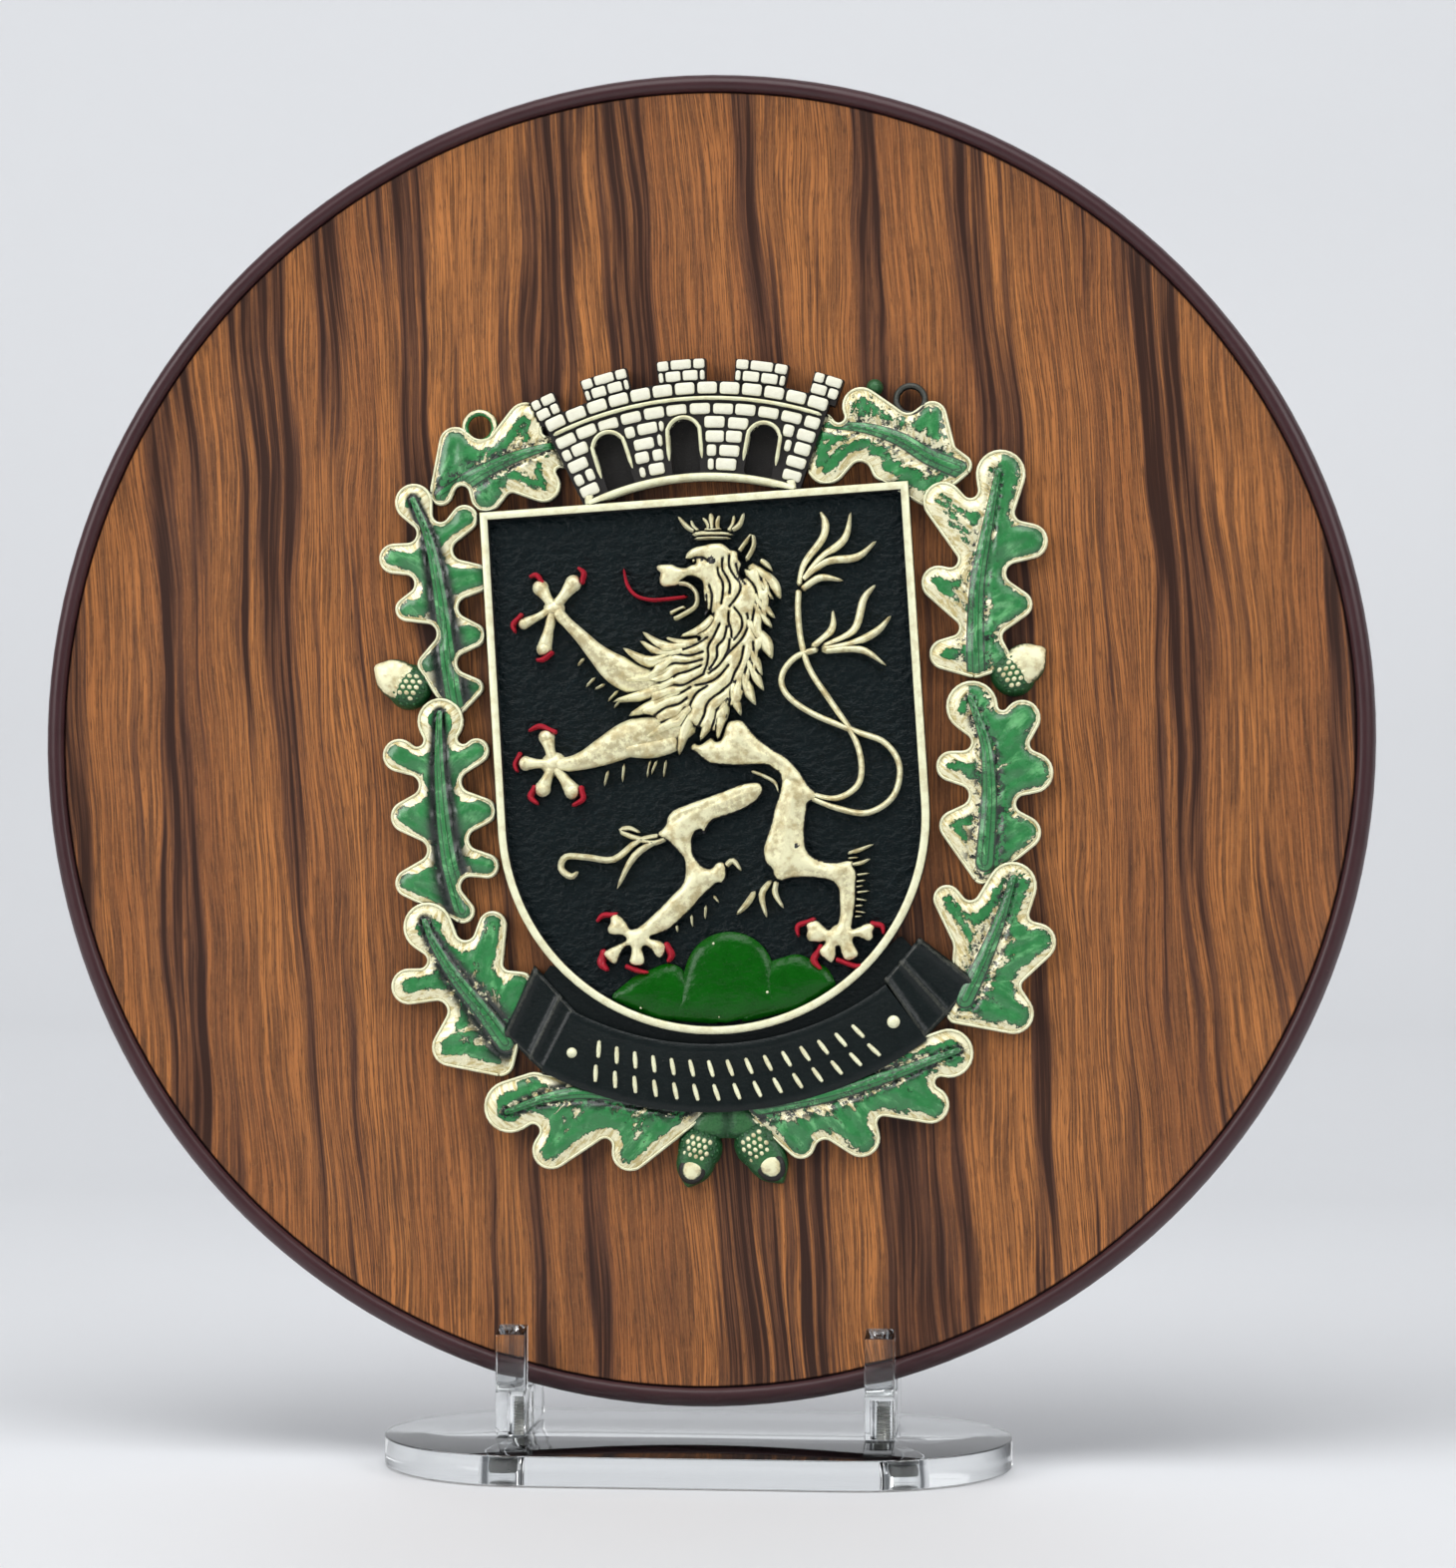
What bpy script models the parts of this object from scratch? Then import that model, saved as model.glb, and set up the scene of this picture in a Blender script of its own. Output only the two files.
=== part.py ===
"""Round plaque with a cast coat of arms, standing on a clear acrylic cradle stand.

Metres, +Z up. The origin is the centre of the stand's underside and the plaque faces -Y.
The casting is drawn in millimetres on its own face: x to the right, y up, z towards the viewer
from the casting's flat back.
"""

import bmesh
import bpy
from math import atan2, ceil, cos, hypot, pi, radians, sin, sqrt, tau
from mathutils import Matrix, Vector
from mathutils.geometry import delaunay_2d_cdt

MM = 0.001
GAP = 0.3                      # clearance between pieces that touch

# Board
BOARD_RADIUS = 140.0
BOARD_HALF_THICKNESS = 3.75
BOARD_SEGMENTS = 48
BOARD_CENTRE = (0.0, 10.1, 150.55)
LEAN_DEG = 3.48                # the plaque leans back on the stand
ROLL_DEG = 3.9                 # and sits turned anticlockwise in it
FACE_Z = 1.0                   # front of the wood-grain face, from the board's middle plane
FACE_THICKNESS = 1.2
COVE_RADIUS = 124.0            # where the face starts to sweep up
FACE_RADIUS = 135.2
COVE_RISE = 1.6
COVE_BEND = (6.5, 0.5)         # the cove's middle: how far out from its start, and how high
BEAD = ((136.4, -3.75), (140.0, -0.8), (139.3, 2.25), (137.4, 3.75))    # section: radius, z
LIP_GAP = 0.4                  # between the face's edge and the bead's inner lip
LIP_DROP = 0.9
FOOT_RING_RADIUS = 100.0       # the back is flat outside this and sunk inside it
FOOT_RING_SLOPE = 2.0
BACK_RECESS = 1.0

# Stand
SHEET = 6.0                    # acrylic thickness
BASE_LENGTH = 130.0
BASE_DEPTH = 66.0
BASE_END_STEPS = 10
EDGE_EASE = 0.5
ARM_X = 38.0
ARM_FRONT = -8.5
ARM_BACK = 22.5
ARM_HEEL = 7.0                 # height of the foot's upright back edge
PRONG_DEPTH = 6.0
PRONG_TOP_FRONT = 27.0
PRONG_TOP_BACK = 28.5
UPRIGHT_TOP = 72.0
UPRIGHT_TOP_DEPTH = 8.0
UPRIGHT_CHAMFER = 3.0
SCREW_Y = 7.0
SCREW_RADIUS = 1.5
SCREW_HEAD_RADIUS = 2.8
SCREW_HEAD_HEIGHT = 1.8
SCREW_LENGTH = 13.0
SCREW_SEGMENTS = 10

# Casting: the drawing is reduced a little to its real size, and shifted on the board
ARMS_SCALE = 0.994
ARMS_OFFSET_X = 1.5
WREATH_EDGE = 2.0              # height of a leaf's edge over the casting's back
LEAF_DOME = 1.3
LEAF_STEP_DEG = 58
TIP_LIFT = 0.9                 # each leaf's tip rides over the leaf beyond it
FIELD_Z = 2.3
BORDER_Z = 4.4
BORDER_WIDTH = 1.8
SHIELD_HALF_WIDTH = 45.35
SHIELD_TOP = 49.7
SHIELD_ARC_Y = -17.8
CROWN_CENTRE = (-0.3, -5.0)
CROWN_HALF_ANGLE = 22.7
CROWN_WALL_Z = 3.0
BAND_Z = 4.1
CROWN_RINGS = (                # inner and outer radius, reach past the half angle, low, high
    (58.6, 79.2, 0.0, 0.0, CROWN_WALL_Z),      # wall
    (58.2, 59.8, 0.3, 0.2, BAND_Z),            # foot band
    (75.0, 76.0, 0.3, 1.0, BAND_Z),            # string band
    (76.6, 78.9, -0.3, 1.5, 3.7),              # coping
)
CROWN_WALL_FOOT = 59.8
CROWN_FEET = (-21.9, 20.8)     # x of the two feet on the shield's top
CROWN_FOOT_HALF = 1.3
CROWN_FOOT_Y = (48.5, 52.0)
MERLON_RADII = (78.2, 84.0)
MERLONS = ((-0.35, 3.6), (-11.8, 3.5), (11.5, 3.9), (-21.3, 1.9), (21.4, 2.2))   # angle, half angle
WINDOWS = ((-14.2, 72.4), (-0.7, 72.2), (13.6, 71.7))    # angle, outer top radius
WINDOW_HALF = 3.0
WINDOW_FRAME = 0.9
RIBBON_CENTRE = (0.0, -3.3)
RIBBON_INNER = 62.4
RIBBON_OUTER = 76.5
RIBBON_ANGLES = (-208.7, -149.0)
RIBBON_Z = 4.4
RIBBON_TAILS = (
    [(-39.5, -46.3), (-47, -60), (-38.4, -69.4), (-31.0, -57)],
    [(33.4, -54), (40.8, -67), (53, -55.6), (41.5, -45.6)],
)
RIBBON_TAIL_Z = 3.4
WEB_RADIUS = 56.0              # the web joins the ribbon to the shield, and is a little shorter
WEB_TRIM_DEG = 3.0
MARK_RADII = (67.2, 71.4)      # two rows of strokes on the ribbon
MARKS_PER_ROW = 8
MARK_START_DEG = -24.0
MARK_STEP_DEG = 6.6
MARK_SHIFT_DEG = 1.8
MARK_HALF = (1.3, 0.5)         # half a stroke: along the ribbon and across it
MARK_HALF_WIDTH = 0.5
MARK_SUNK, MARK_RAISED = 0.5, 0.45
LION_Z = 4.8
LION_ROOT = 1.7                # strokes start below the shield's field, so they join it
TOE_Z = 4.3
TOE_STEP = 0.05                # neighbouring toes differ in height, so no faces coincide
CLAW_Z = 3.5
LOCK_Z = 5.3
TAIL_Z = 3.8
TUFT_Z = 4.0
CURL_Z = 3.8
EYELETS = ((-44.4, 68.0, 2.4, 3.9), (46.7, 66.6, 2.2, 4.0))    # x, y, hole, outer radius
EYELET_Z = 2.9
STEM = [(-6, -82, 2.5), (3, -82.5, 2.5), (-0.5, -77, 2.5)]     # discs of the lower acorns' stem
STEM_Z = 3.2
BUD = (39, 71.2, 1.8)          # x, y, radius of the small bud by the right eyelet
BUD_Z = 2.6
MOUNT_SHOULDER = 1.1           # drop from a mount top to its edge

# A leaf is its midrib and the round lobes of its edge, anticlockwise from the base: x, y, radius.
# A negative radius is a hollow, LINE keeps the edge straight, and other lobes get a bay between them.
LINE = None
LEAVES = {
    "left_top": (
        [(-53, 53.5), (-47, 57), (-40, 60), (-33, 62), (-28, 63)],
        [(-53.5, 54.5, 2.5), (-43.8, 53.2, 3.4), (-38.3, 52.0, -1.5), (-31.5, 54.6, 3.6), (-27, 62, 4),
         (-34.5, 68.5, 4), (-44.0, 68.4, -3), (-49.8, 65, 3.5), LINE]),
    "left_upper": (
        [(-53, 9), (-54, 20), (-54.8, 33), (-56.3, 44), (-59.3, 53.5)],
        [(-53, 10.5, 3), LINE, (-48.8, 13, 2), (-48.3, 24, 2.6), (-46.8, 36, 3), (-48.7, 48.8, 2.9),
         (-59.3, 53, 4), (-64.2, 41.4, 3.2), (-62, 30.5, 2.6), (-58.2, 18.5, 2.4), LINE]),
    "left_middle": (
        [(-54, -34), (-56.3, -22), (-57, -8), (-56.8, 2), (-56.3, 8)],
        [(-54, -34, 2.5), (-48.3, -24.8, 2.6), (-48.4, -13.2, 2.8), (-49, -0.5, 2.7), (-56.3, 6.3, 4.9),
         (-65.5, -0.3, 3.5), (-64.7, -13.3, 3.4), (-65, -27.3, 3), LINE]),
    "left_lower": (
        [(-46.5, -62), (-51, -55), (-56, -48), (-60, -41), (-62, -35.5)],
        [(-48, -66, 3), LINE, (-42.6, -50, 2.6), (-44.7, -45.6, -1.4), (-47.8, -37.3, 3),
         (-61.5, -36.8, 5.2), (-66.2, -49, 3.8), (-58.2, -62.3, 4), LINE]),
    "left_bottom": (
        [(-10, -76.5), (-28, -73.5), (-38, -74), (-47, -76.5)],
        [(-6, -78, 2), LINE, (-41, -71.5, 3), (-46.3, -75.4, 5.5), (-38.2, -85, 4), (-26.9, -84.8, -1.5),
         (-21.7, -86.5, 3.9), LINE]),
    "right_bottom": (
        [(6, -78.5), (20, -77), (33, -74), (42, -71.3), (48, -69.5)],
        [(4, -78.5, 2), LINE, (14, -87, 3), (19, -88.4, -2.1), (26.6, -86.4, 4), (31.6, -83.6, -1.4),
         (41.5, -80.4, 3.9), (46, -70, 5.1), LINE]),
    "right_lower": (
        [(50, -59), (54, -52), (58, -44), (61.8, -34.5)],
        [(48, -62, 2), LINE, (59.8, -62.6, 4.3), (63.4, -57.2, -1.5), (65.7, -48.2, 4),
         (65.9, -42.6, -1.4), (61.4, -36.3, 5.1), (52.6, -36.8, -1.8), (47.7, -38, 2.9),
         (44.8, -48, -3.5)]),
    "right_middle": (
        [(56, -31), (57.8, -18), (58, -8), (56.8, -2), (55.3, 3.5)],
        [(55.5, -33, 2.5), LINE, (64.6, -25.3, 3.5), (67.2, -13, 4.3), (68.6, -7.1, -1.6),
         (65.8, -1.5, 3.8), (55.5, 1.6, 5.4), (50.4, -10.5, 3.2), (50.2, -22.9, 3.2), LINE]),
    "right_upper": (
        [(56.8, 8), (57.3, 18), (58.5, 28), (61, 38), (64.3, 50.5)],
        [(56.8, 10, 2.5), LINE, (62.5, 11, 2), (64.6, 15.6, -1.8), (66.6, 22.3, 2.9), (69.9, 35.3, 3.7),
         (69, 41.4, -1.9), (64.7, 49.7, 5.2), (52.3, 44.9, 4.2), (53, 32.6, -1.6), (50.2, 28, 3.6),
         (52.2, 18.4, -1.7), (50.5, 13, 3.2), LINE]),
    "right_top": (
        [(56, 51.5), (50, 54.5), (44, 58.7), (37, 61.5), (29, 62.8)],
        [(56.5, 52.3, 2.4), (57, 57, -1.5), (51.2, 63.2, 3.1), (46.4, 66.6, -2.4), (36.5, 66.3, 4),
         (27, 62, 4), (28.5, 54.5, 4.2), (35.4, 52.4, -2.2), (40.2, 52.6, 2.4), LINE,
         (48.8, 47.5, 3), LINE]),
}

# An acorn runs from its stem to its tip: x, y, half width.
ACORNS = (
    [(-58.8, 11.5, 3.2), (-62, 14, 4.8), (-65, 16.2, 4.7), (-68, 18, 3), (-69.8, 19, 1.1)],
    [(60.5, 5.5, 3.5), (63.5, 7.3, 4.8), (66.5, 9.3, 4.9), (69.5, 11.4, 3.4), (71.3, 12.8, 1.2)],
    [(-5.5, -82, 3), (-7.2, -86, 4.6), (-8.4, -89, 4.4), (-9.6, -92.5, 2.8), (-10.2, -94.3, 1)],
    [(2.2, -82, 3), (4.3, -86.3, 4.8), (6.6, -89.6, 4.6), (8.6, -92.8, 3), (9.6, -94.6, 1.1)],
)
ACORN_Z = 4.2

# The mount's three tops, each a hull of discs
MOUNT_TOPS = (
    ([(1.4, -51.3, 9.4), (-9, -57.5, 1.5), (0, -60, 0.8), (10, -57.5, 1.5)], 4.6),
    ([(-11.5, -51.7, 4), (-17, -53.2, 3.6), (-22.6, -53.9, 0.9), (-14, -58.3, 1), (-2, -60, 0.8)], 4.2),
    ([(15.3, -51.5, 4), (11, -52.5, 4), (4, -60, 0.8), (15, -58, 1), (22.5, -54, 0.9), (19.5, -53, 3.2)],
     4.2),
)

# The lion's broad forms, from root to end: x, y, half width
LION_BODY = (
    [(-3.2, -3.2, 0.9), (0, -2.8, 2.6), (4, -2.3, 4.4), (8, -3.8, 4.2), (12, -5.6, 3.6),
     (15.6, -9, 3.3), (17.2, -13, 3.4), (16, -20, 3.6), (14.8, -25, 4.4), (15.6, -28.6, 3.4)],
    [(14.5, -29, 2.6), (21, -30.4, 1.9), (25, -31.8, 2.2), (27.2, -34.5, 2), (27.1, -38, 1.7),
     (26.3, -43.5, 1.8)],
    [(10.3, -12.9, 2), (5, -14.5, 2.9), (0, -16.2, 3), (-4.5, -17.6, 3), (-7, -20.4, 2.9),
     (-6.3, -24, 1.9), (-4.8, -28, 2.2), (-3.9, -31, 2.6)],
    [(0.6, -29.4, 1.8), (-3.5, -31.8, 3), (-7.5, -34.6, 2.8), (-11.5, -37.9, 2.4), (-15, -40.6, 1.9),
     (-17.6, -42.8, 1.9)],
    [(-14, 11, 2.2), (-19.3, 14.9, 3.2), (-22.3, 18.3, 2.1), (-25.3, 21.9, 1.5), (-28.4, 25.4, 1.2),
     (-30.8, 28.3, 1.5)],
    [(-11, 0.6, 3.2), (-17, -0.2, 4.1), (-22, -2.4, 3), (-26, -3.9, 2.1), (-29.5, -4.6, 1.6),
     (-33, -4.6, 1.7)],
    [(-14, -2.2, 1.7), (-10.5, -2.6, 2), (-7.8, -2.8, 1.9)],
    [(5, 37, 2.8), (7, 30, 5.4), (6, 21, 6.6), (3, 14, 8), (0.5, 8.5, 6.8), (0.5, 5, 4.4)],
    [(4.5, 35.6, 3), (0.5, 34.3, 1.6), (-3, 33.7, 1.2), (-6, 33.3, 1.9), (-7.9, 33.2, 1.7)],
    [(2.6, 32.5, 2), (2, 28.5, 1.2), (1, 24.5, 0.4)],
)

# Paws: the middle and half width of each, then its toes' knobs: x, y, half width
PAWS = (
    ((-30.8, 28.3, 1.3), (-33.4, 32.7, 1.4), (-26.4, 33.2, 1.5), (-37.2, 25.6, 0.8), (-33.4, 20.2, 1.4)),
    ((-32.8, -4.4, 1.6), (-34, 1.2, 1.4), (-38.8, -3.8, 1.3), (-35.3, -9.3, 1.4), (-29.2, -10.3, 1.5)),
    ((-17.3, -42.3, 1.7), (-21.8, -38.9, 2), (-22.8, -45.2, 1.9), (-17.7, -46.6, 1.5), (-12.8, -44.8, 1.5)),
    ((25.8, -44.4, 1.7), (20.3, -42.9, 1.9), (22.4, -47.6, 1.9), (27.3, -47.8, 1.8), (31, -43.6, 1.8)),
)

# Claws: root and point
CLAWS = (
    [(-33.2, 34.6, 0.4), (-35.6, 35.4, 0.25)],
    [(-24.6, 34, 0.5), (-25.4, 36.7, 0.25)],
    [(-38.5, 26.9, 0.35), (-39.2, 23.8, 0.25)],
    [(-32.6, 18.9, 0.4), (-35.2, 17.8, 0.25)],
    [(-33.4, 2.8, 0.4), (-37.9, 2.8, 0.25)],
    [(-40.4, -2.6, 0.3), (-40.6, -5.6, 0.2)],
    [(-37.2, -9.6, 0.5), (-36.6, -12.6, 0.3)],
    [(-27.4, -10.6, 0.5), (-29.6, -13.4, 0.35)],
    [(-22.6, -36.9, 0.45), (-25.8, -38.1, 0.25)],
    [(-24.7, -45.2, 0.7), (-23.8, -48.4, 0.35)],
    [(-19, -48.1, 0.4), (-15.2, -49.4, 0.25)],
    [(-11.2, -44.4, 0.6), (-11.5, -47.5, 0.3)],
    [(18.4, -40.9, 0.45), (16.3, -44, 0.3)],
    [(20.7, -47.1, 0.5), (20.9, -51.2, 0.3)],
    [(25.6, -49.7, 0.4), (30.2, -50.4, 0.3)],
    [(32.3, -42.4, 0.5), (34, -44.6, 0.3)],
)

# Locks of the mane, from root to tip, each with its greatest half width
LOCKS = (
    ([(13.3, 35.5), (14.6, 34.3), (15.8, 32.8)], 0.45),
    ([(10.5, 34.5), (14.2, 31.8), (16, 29.5), (17.1, 26.8)], 0.9),
    ([(11, 32.5), (13.6, 29.6), (15.6, 26.8)], 0.9),
    ([(11, 29), (13, 26), (15.8, 22.8)], 0.9),
    ([(11, 27), (13, 23.6), (15, 20.9)], 0.8),
    ([(9.5, 23.5), (11.6, 20), (13.4, 17.6), (14.5, 14.4)], 1.1),
    ([(9.5, 18), (11, 14), (12.2, 11)], 0.8),
    ([(9, 15), (10.8, 11), (12.4, 7.8)], 0.8),
    ([(8, 12.5), (8.9, 8.6), (10.5, 4.9)], 1.0),
    ([(6.3, 10.5), (6.1, 7.3), (7.3, 2.8)], 1.0),
    ([(4.3, 7), (3.2, 3.4), (2, -2)], 1.0),
    ([(2, 7), (0.8, 2.8), (-1.8, -1.9)], 1.0),
    ([(-1, 6), (-4.4, 1.6), (-6.4, -4.6)], 1.1),
    ([(-2, 6), (-7.5, 2.4), (-13.6, -0.7)], 1.2),
    ([(-4, 9.6), (-10.5, 6.6), (-16.6, 4.6)], 1.2),
    ([(-5, 12), (-11, 9.2), (-20, 7.8)], 1.1),
    ([(-5, 14.5), (-11, 12.4), (-17.4, 12)], 1.0),
    ([(-5, 16), (-11.4, 15.6), (-17, 19.2)], 1.0),
    ([(-3, 17.6), (-8.2, 17.2), (-13.3, 20.4)], 1.0),
    ([(-2, 18.6), (-8, 18.6), (-12.6, 22.3)], 0.9),
    ([(0, 19.4), (-4, 18.9), (-7.7, 20.6)], 0.8),
    ([(3.5, 24.5), (0.2, 21.6), (-4.7, 20.4)], 0.9),
)

# The two tails: stems, then the strands of their tufts
TAILS = (
    [(19.5, -14), (25.5, -15.6), (30.2, -13.6), (31.7, -9.5), (30.6, -3.2), (26, 5), (22.3, 11.5),
     (20.8, 17.5), (20.5, 24), (21, 29)],
    [(19.5, -14.4), (26, -17.6), (32.5, -19), (38, -15.8), (39.6, -9.6), (36.8, -4.6), (30.8, -1.8),
     (22.3, 2.4), (17.2, 6.6), (16.2, 10.6), (19.2, 14.4), (24.5, 16)],
)
TAIL_HALF_WIDTH = 0.62
TUFTS = (
    [(21, 29), (22.6, 34), (26.6, 39), (27.4, 42.2), (26.5, 44.8)],
    [(21.4, 30), (26, 34.8), (31.2, 38.6), (33, 44.4)],
    [(21.4, 30), (26.8, 34), (33.6, 34.6), (38, 37.8)],
    [(21.2, 28.4), (25.6, 30.8), (30.6, 29.8)],
    [(22.5, 16), (27.2, 19.6), (27.9, 24)],
    [(24.5, 16), (31.8, 19.2), (34.4, 25.6), (37.2, 28.6)],
    [(24.5, 15.8), (31.6, 16.6), (36.8, 18.8), (40, 21.9)],
    [(24.5, 15.4), (33, 15.2), (38.4, 11.3)],
)
TUFT_HALF_WIDTH = 0.75

# Thin curls and streaks: points from root to tip, and half width
CURLS = (
    ([(-10.5, -20.8), (-16, -21.8), (-21.4, -25.2), (-27, -24.4), (-31.8, -24.4), (-31.8, -27.9),
      (-28.7, -28)], 0.6),
    ([(-11.5, -21.5), (-17, -24.8), (-21.3, -31.8)], 0.6),
    ([(8, -33.6), (6, -36.3), (3.5, -38.6)], 0.55),
    ([(11.7, -31.6), (9.2, -34.6), (10, -39.8)], 0.55),
    ([(12.6, -31.6), (12, -34.5), (13.7, -38)], 0.5),
    ([(8.8, 37.2), (12, 40.8)], 0.45),
    ([(-1, 41.9), (3.5, 41.7), (8.2, 41.2)], 0.6),
    ([(0.3, 42), (-3.6, 46.1)], 0.4),
    ([(2.6, 42), (1.6, 45.4)], 0.4),
    ([(3.6, 42), (3.5, 46.2)], 0.5),
    ([(4.8, 42), (5.4, 45.6)], 0.4),
    ([(6.8, 41.6), (8.4, 45.4)], 0.4),
    ([(7.2, 41.8), (10.6, 45.8)], 0.4),
)

BROWN = (0.16, 0.075, 0.06)
WOOD = (0.3, 0.13, 0.055)
GREEN = (0.045, 0.24, 0.09)
CLEAR = (0.95, 0.97, 0.98)
STEEL = (0.6, 0.6, 0.58)


def clear_scene():
    for old in list(bpy.data.objects):
        bpy.data.objects.remove(old, do_unlink=True)


def material(name, colour, roughness, metallic=0.0, transmission=0.0):
    made = bpy.data.materials.new(name)
    made.use_nodes = True
    shader = made.node_tree.nodes["Principled BSDF"]
    shader.inputs["Base Color"].default_value = (*colour, 1.0)
    shader.inputs["Roughness"].default_value = roughness
    shader.inputs["Metallic"].default_value = metallic
    shader.inputs["Transmission Weight"].default_value = transmission
    return made


def add_object(name, bm, surface, parent=None):
    """Turn a bmesh drawn in millimetres into a named object in metres."""
    bmesh.ops.scale(bm, vec=(MM, MM, MM), verts=bm.verts)
    bmesh.ops.recalc_face_normals(bm, faces=bm.faces)
    mesh = bpy.data.meshes.new(name)
    bm.to_mesh(mesh)
    bm.free()
    mesh.materials.append(surface)
    obj = bpy.data.objects.new(name, mesh)
    bpy.context.scene.collection.objects.link(obj)
    obj.parent = parent
    return obj


def lathe(profile, segments):
    """Turn (radius, z) points, whose first and last rings are closed by flat faces, round Z."""
    bm = bmesh.new()
    rings = []
    for radius, z in profile:
        ring = bmesh.ops.create_circle(bm, cap_ends=False, segments=segments, radius=radius,
                                       matrix=Matrix.Translation((0, 0, z)))
        rings.append(ring["verts"])
    for low, high in zip(rings, rings[1:]):
        for i in range(segments):
            j = (i + 1) % segments
            bm.faces.new((low[i], low[j], high[j], high[i]))
    bm.faces.new(rings[0])
    bm.faces.new(rings[-1])
    return bm


def prism(outline, low, high):
    """Extrude a flat outline of (x, y) from one height to another."""
    bm = bmesh.new()
    face = bm.faces.new([bm.verts.new((x, y, low)) for x, y in outline])
    raised = bmesh.ops.extrude_face_region(bm, geom=[face], use_keep_orig=True)["geom"]
    top = [v for v in raised if isinstance(v, bmesh.types.BMVert)]
    bmesh.ops.translate(bm, vec=(0, 0, high - low), verts=top)
    return bm


def arc(centre, radius, start_deg, end_deg, steps):
    """Points on a circle, with angles measured from +X."""
    cx, cy = centre
    angles = [radians(start_deg + (end_deg - start_deg) * i / steps) for i in range(steps + 1)]
    return [(cx + radius * cos(a), cy + radius * sin(a)) for a in angles]


def curve_through(points, steps):
    """A smooth curve through points of any dimension, with so many steps to a span."""
    points = [Vector(p) for p in points]
    padded = [2 * points[0] - points[1], *points, 2 * points[-1] - points[-2]]
    made = []
    for a, b, c, d in zip(padded, padded[1:], padded[2:], padded[3:]):
        for i in range(steps):
            t = i / steps
            made.append(0.5 * (2 * b + (c - a) * t + (2 * a - 5 * b + 4 * c - d) * t ** 2
                               + (3 * b - a - 3 * c + d) * t ** 3))
    return made + [points[-1]]


def with_bays(lobes):
    """Put a bay between neighbouring lobes, deeper where they stand further apart."""
    made = []
    for index, lobe in enumerate(lobes):
        if lobe is LINE:
            continue
        made.append(lobe)
        follower = lobes[(index + 1) % len(lobes)]
        if follower is LINE or lobe[2] < 0 or follower[2] < 0:
            continue
        (ax, ay, ar), (bx, by, br) = lobe, follower
        span = hypot(bx - ax, by - ay)
        clear = span - ar - br
        if clear < 0.4:
            continue
        radius = min(max(0.6 + 0.25 * clear, 0.8), 2.2)
        reach_a = ar + clear / 2
        reach_b = br + clear / 2
        least = max((ar + radius) ** 2 - reach_a ** 2, (br + radius) ** 2 - reach_b ** 2)
        lift = 1.02 * sqrt(least) if least > 0 else -min(0.4 * (clear - 3), 2.0)
        ux, uy = (bx - ax) / span, (by - ay) / span
        made.append((ax + ux * reach_a + uy * lift, ay + uy * reach_a - ux * lift, -radius))
    return made


def belt(discs, step_deg):
    """The outline of a belt round discs, outside those of positive radius, inside the others."""
    count = len(discs)
    headings = []
    for index, (ax, ay, ar) in enumerate(discs):
        bx, by, br = discs[(index + 1) % count]
        rise = br - ar
        run = sqrt(max((bx - ax) ** 2 + (by - ay) ** 2 - rise ** 2, 1e-6))
        headings.append(atan2(by - ay, bx - ax) - atan2(rise, run))
    outline = []
    for index, (cx, cy, radius) in enumerate(discs):
        start, end = headings[index - 1], headings[index]
        turn = (end - start) % tau if radius > 0 else -((start - end) % tau)
        if abs(turn) > 1.6 * pi:
            turn = 0.0
        steps = max(1, ceil(abs(turn) / radians(step_deg)))
        for i in range(steps + 1):
            heading = start + turn * i / steps
            outline.append((cx + radius * sin(heading), cy - radius * cos(heading)))
    return outline


def thin_out(outline, least):
    """Drop points closer than a least distance to the one before."""
    kept = []
    for point in outline:
        if not kept or hypot(point[0] - kept[-1][0], point[1] - kept[-1][1]) > least:
            kept.append(point)
    if hypot(kept[0][0] - kept[-1][0], kept[0][1] - kept[-1][1]) <= least:
        kept.pop()
    return kept


def relief(outline, lines, height, back=0.0):
    """A closed plate with a flat back, whose face follows height(x, y, on_edge) along given lines."""
    points = [Vector(p) for p in outline]
    edges = []
    for line in lines:
        first = len(points)
        points.extend(Vector(p) for p in line)
        edges.extend((first + i, first + i + 1) for i in range(len(line) - 1))
    border = len(outline)
    verts, _, faces, *_ = delaunay_2d_cdt(points, edges, [list(range(border))], 1, 1e-4)
    bm = bmesh.new()
    made = []
    for co in verts:
        near = min(hypot(co[0] - p[0], co[1] - p[1]) for p in outline)
        made.append(bm.verts.new((co[0], co[1], height(co[0], co[1], near < 1e-3))))
    for face in faces:
        bm.faces.new([made[i] for i in face])
    rim = [e for e in bm.edges if e.is_boundary]
    raised = bmesh.ops.extrude_edge_only(bm, edges=rim)["geom"]
    foot = [v for v in raised if isinstance(v, bmesh.types.BMVert)]
    for v in foot:
        v.co.z = back
    bmesh.ops.edgeloop_fill(bm, edges=[e for e in raised if isinstance(e, bmesh.types.BMEdge)])
    return bm


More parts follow.
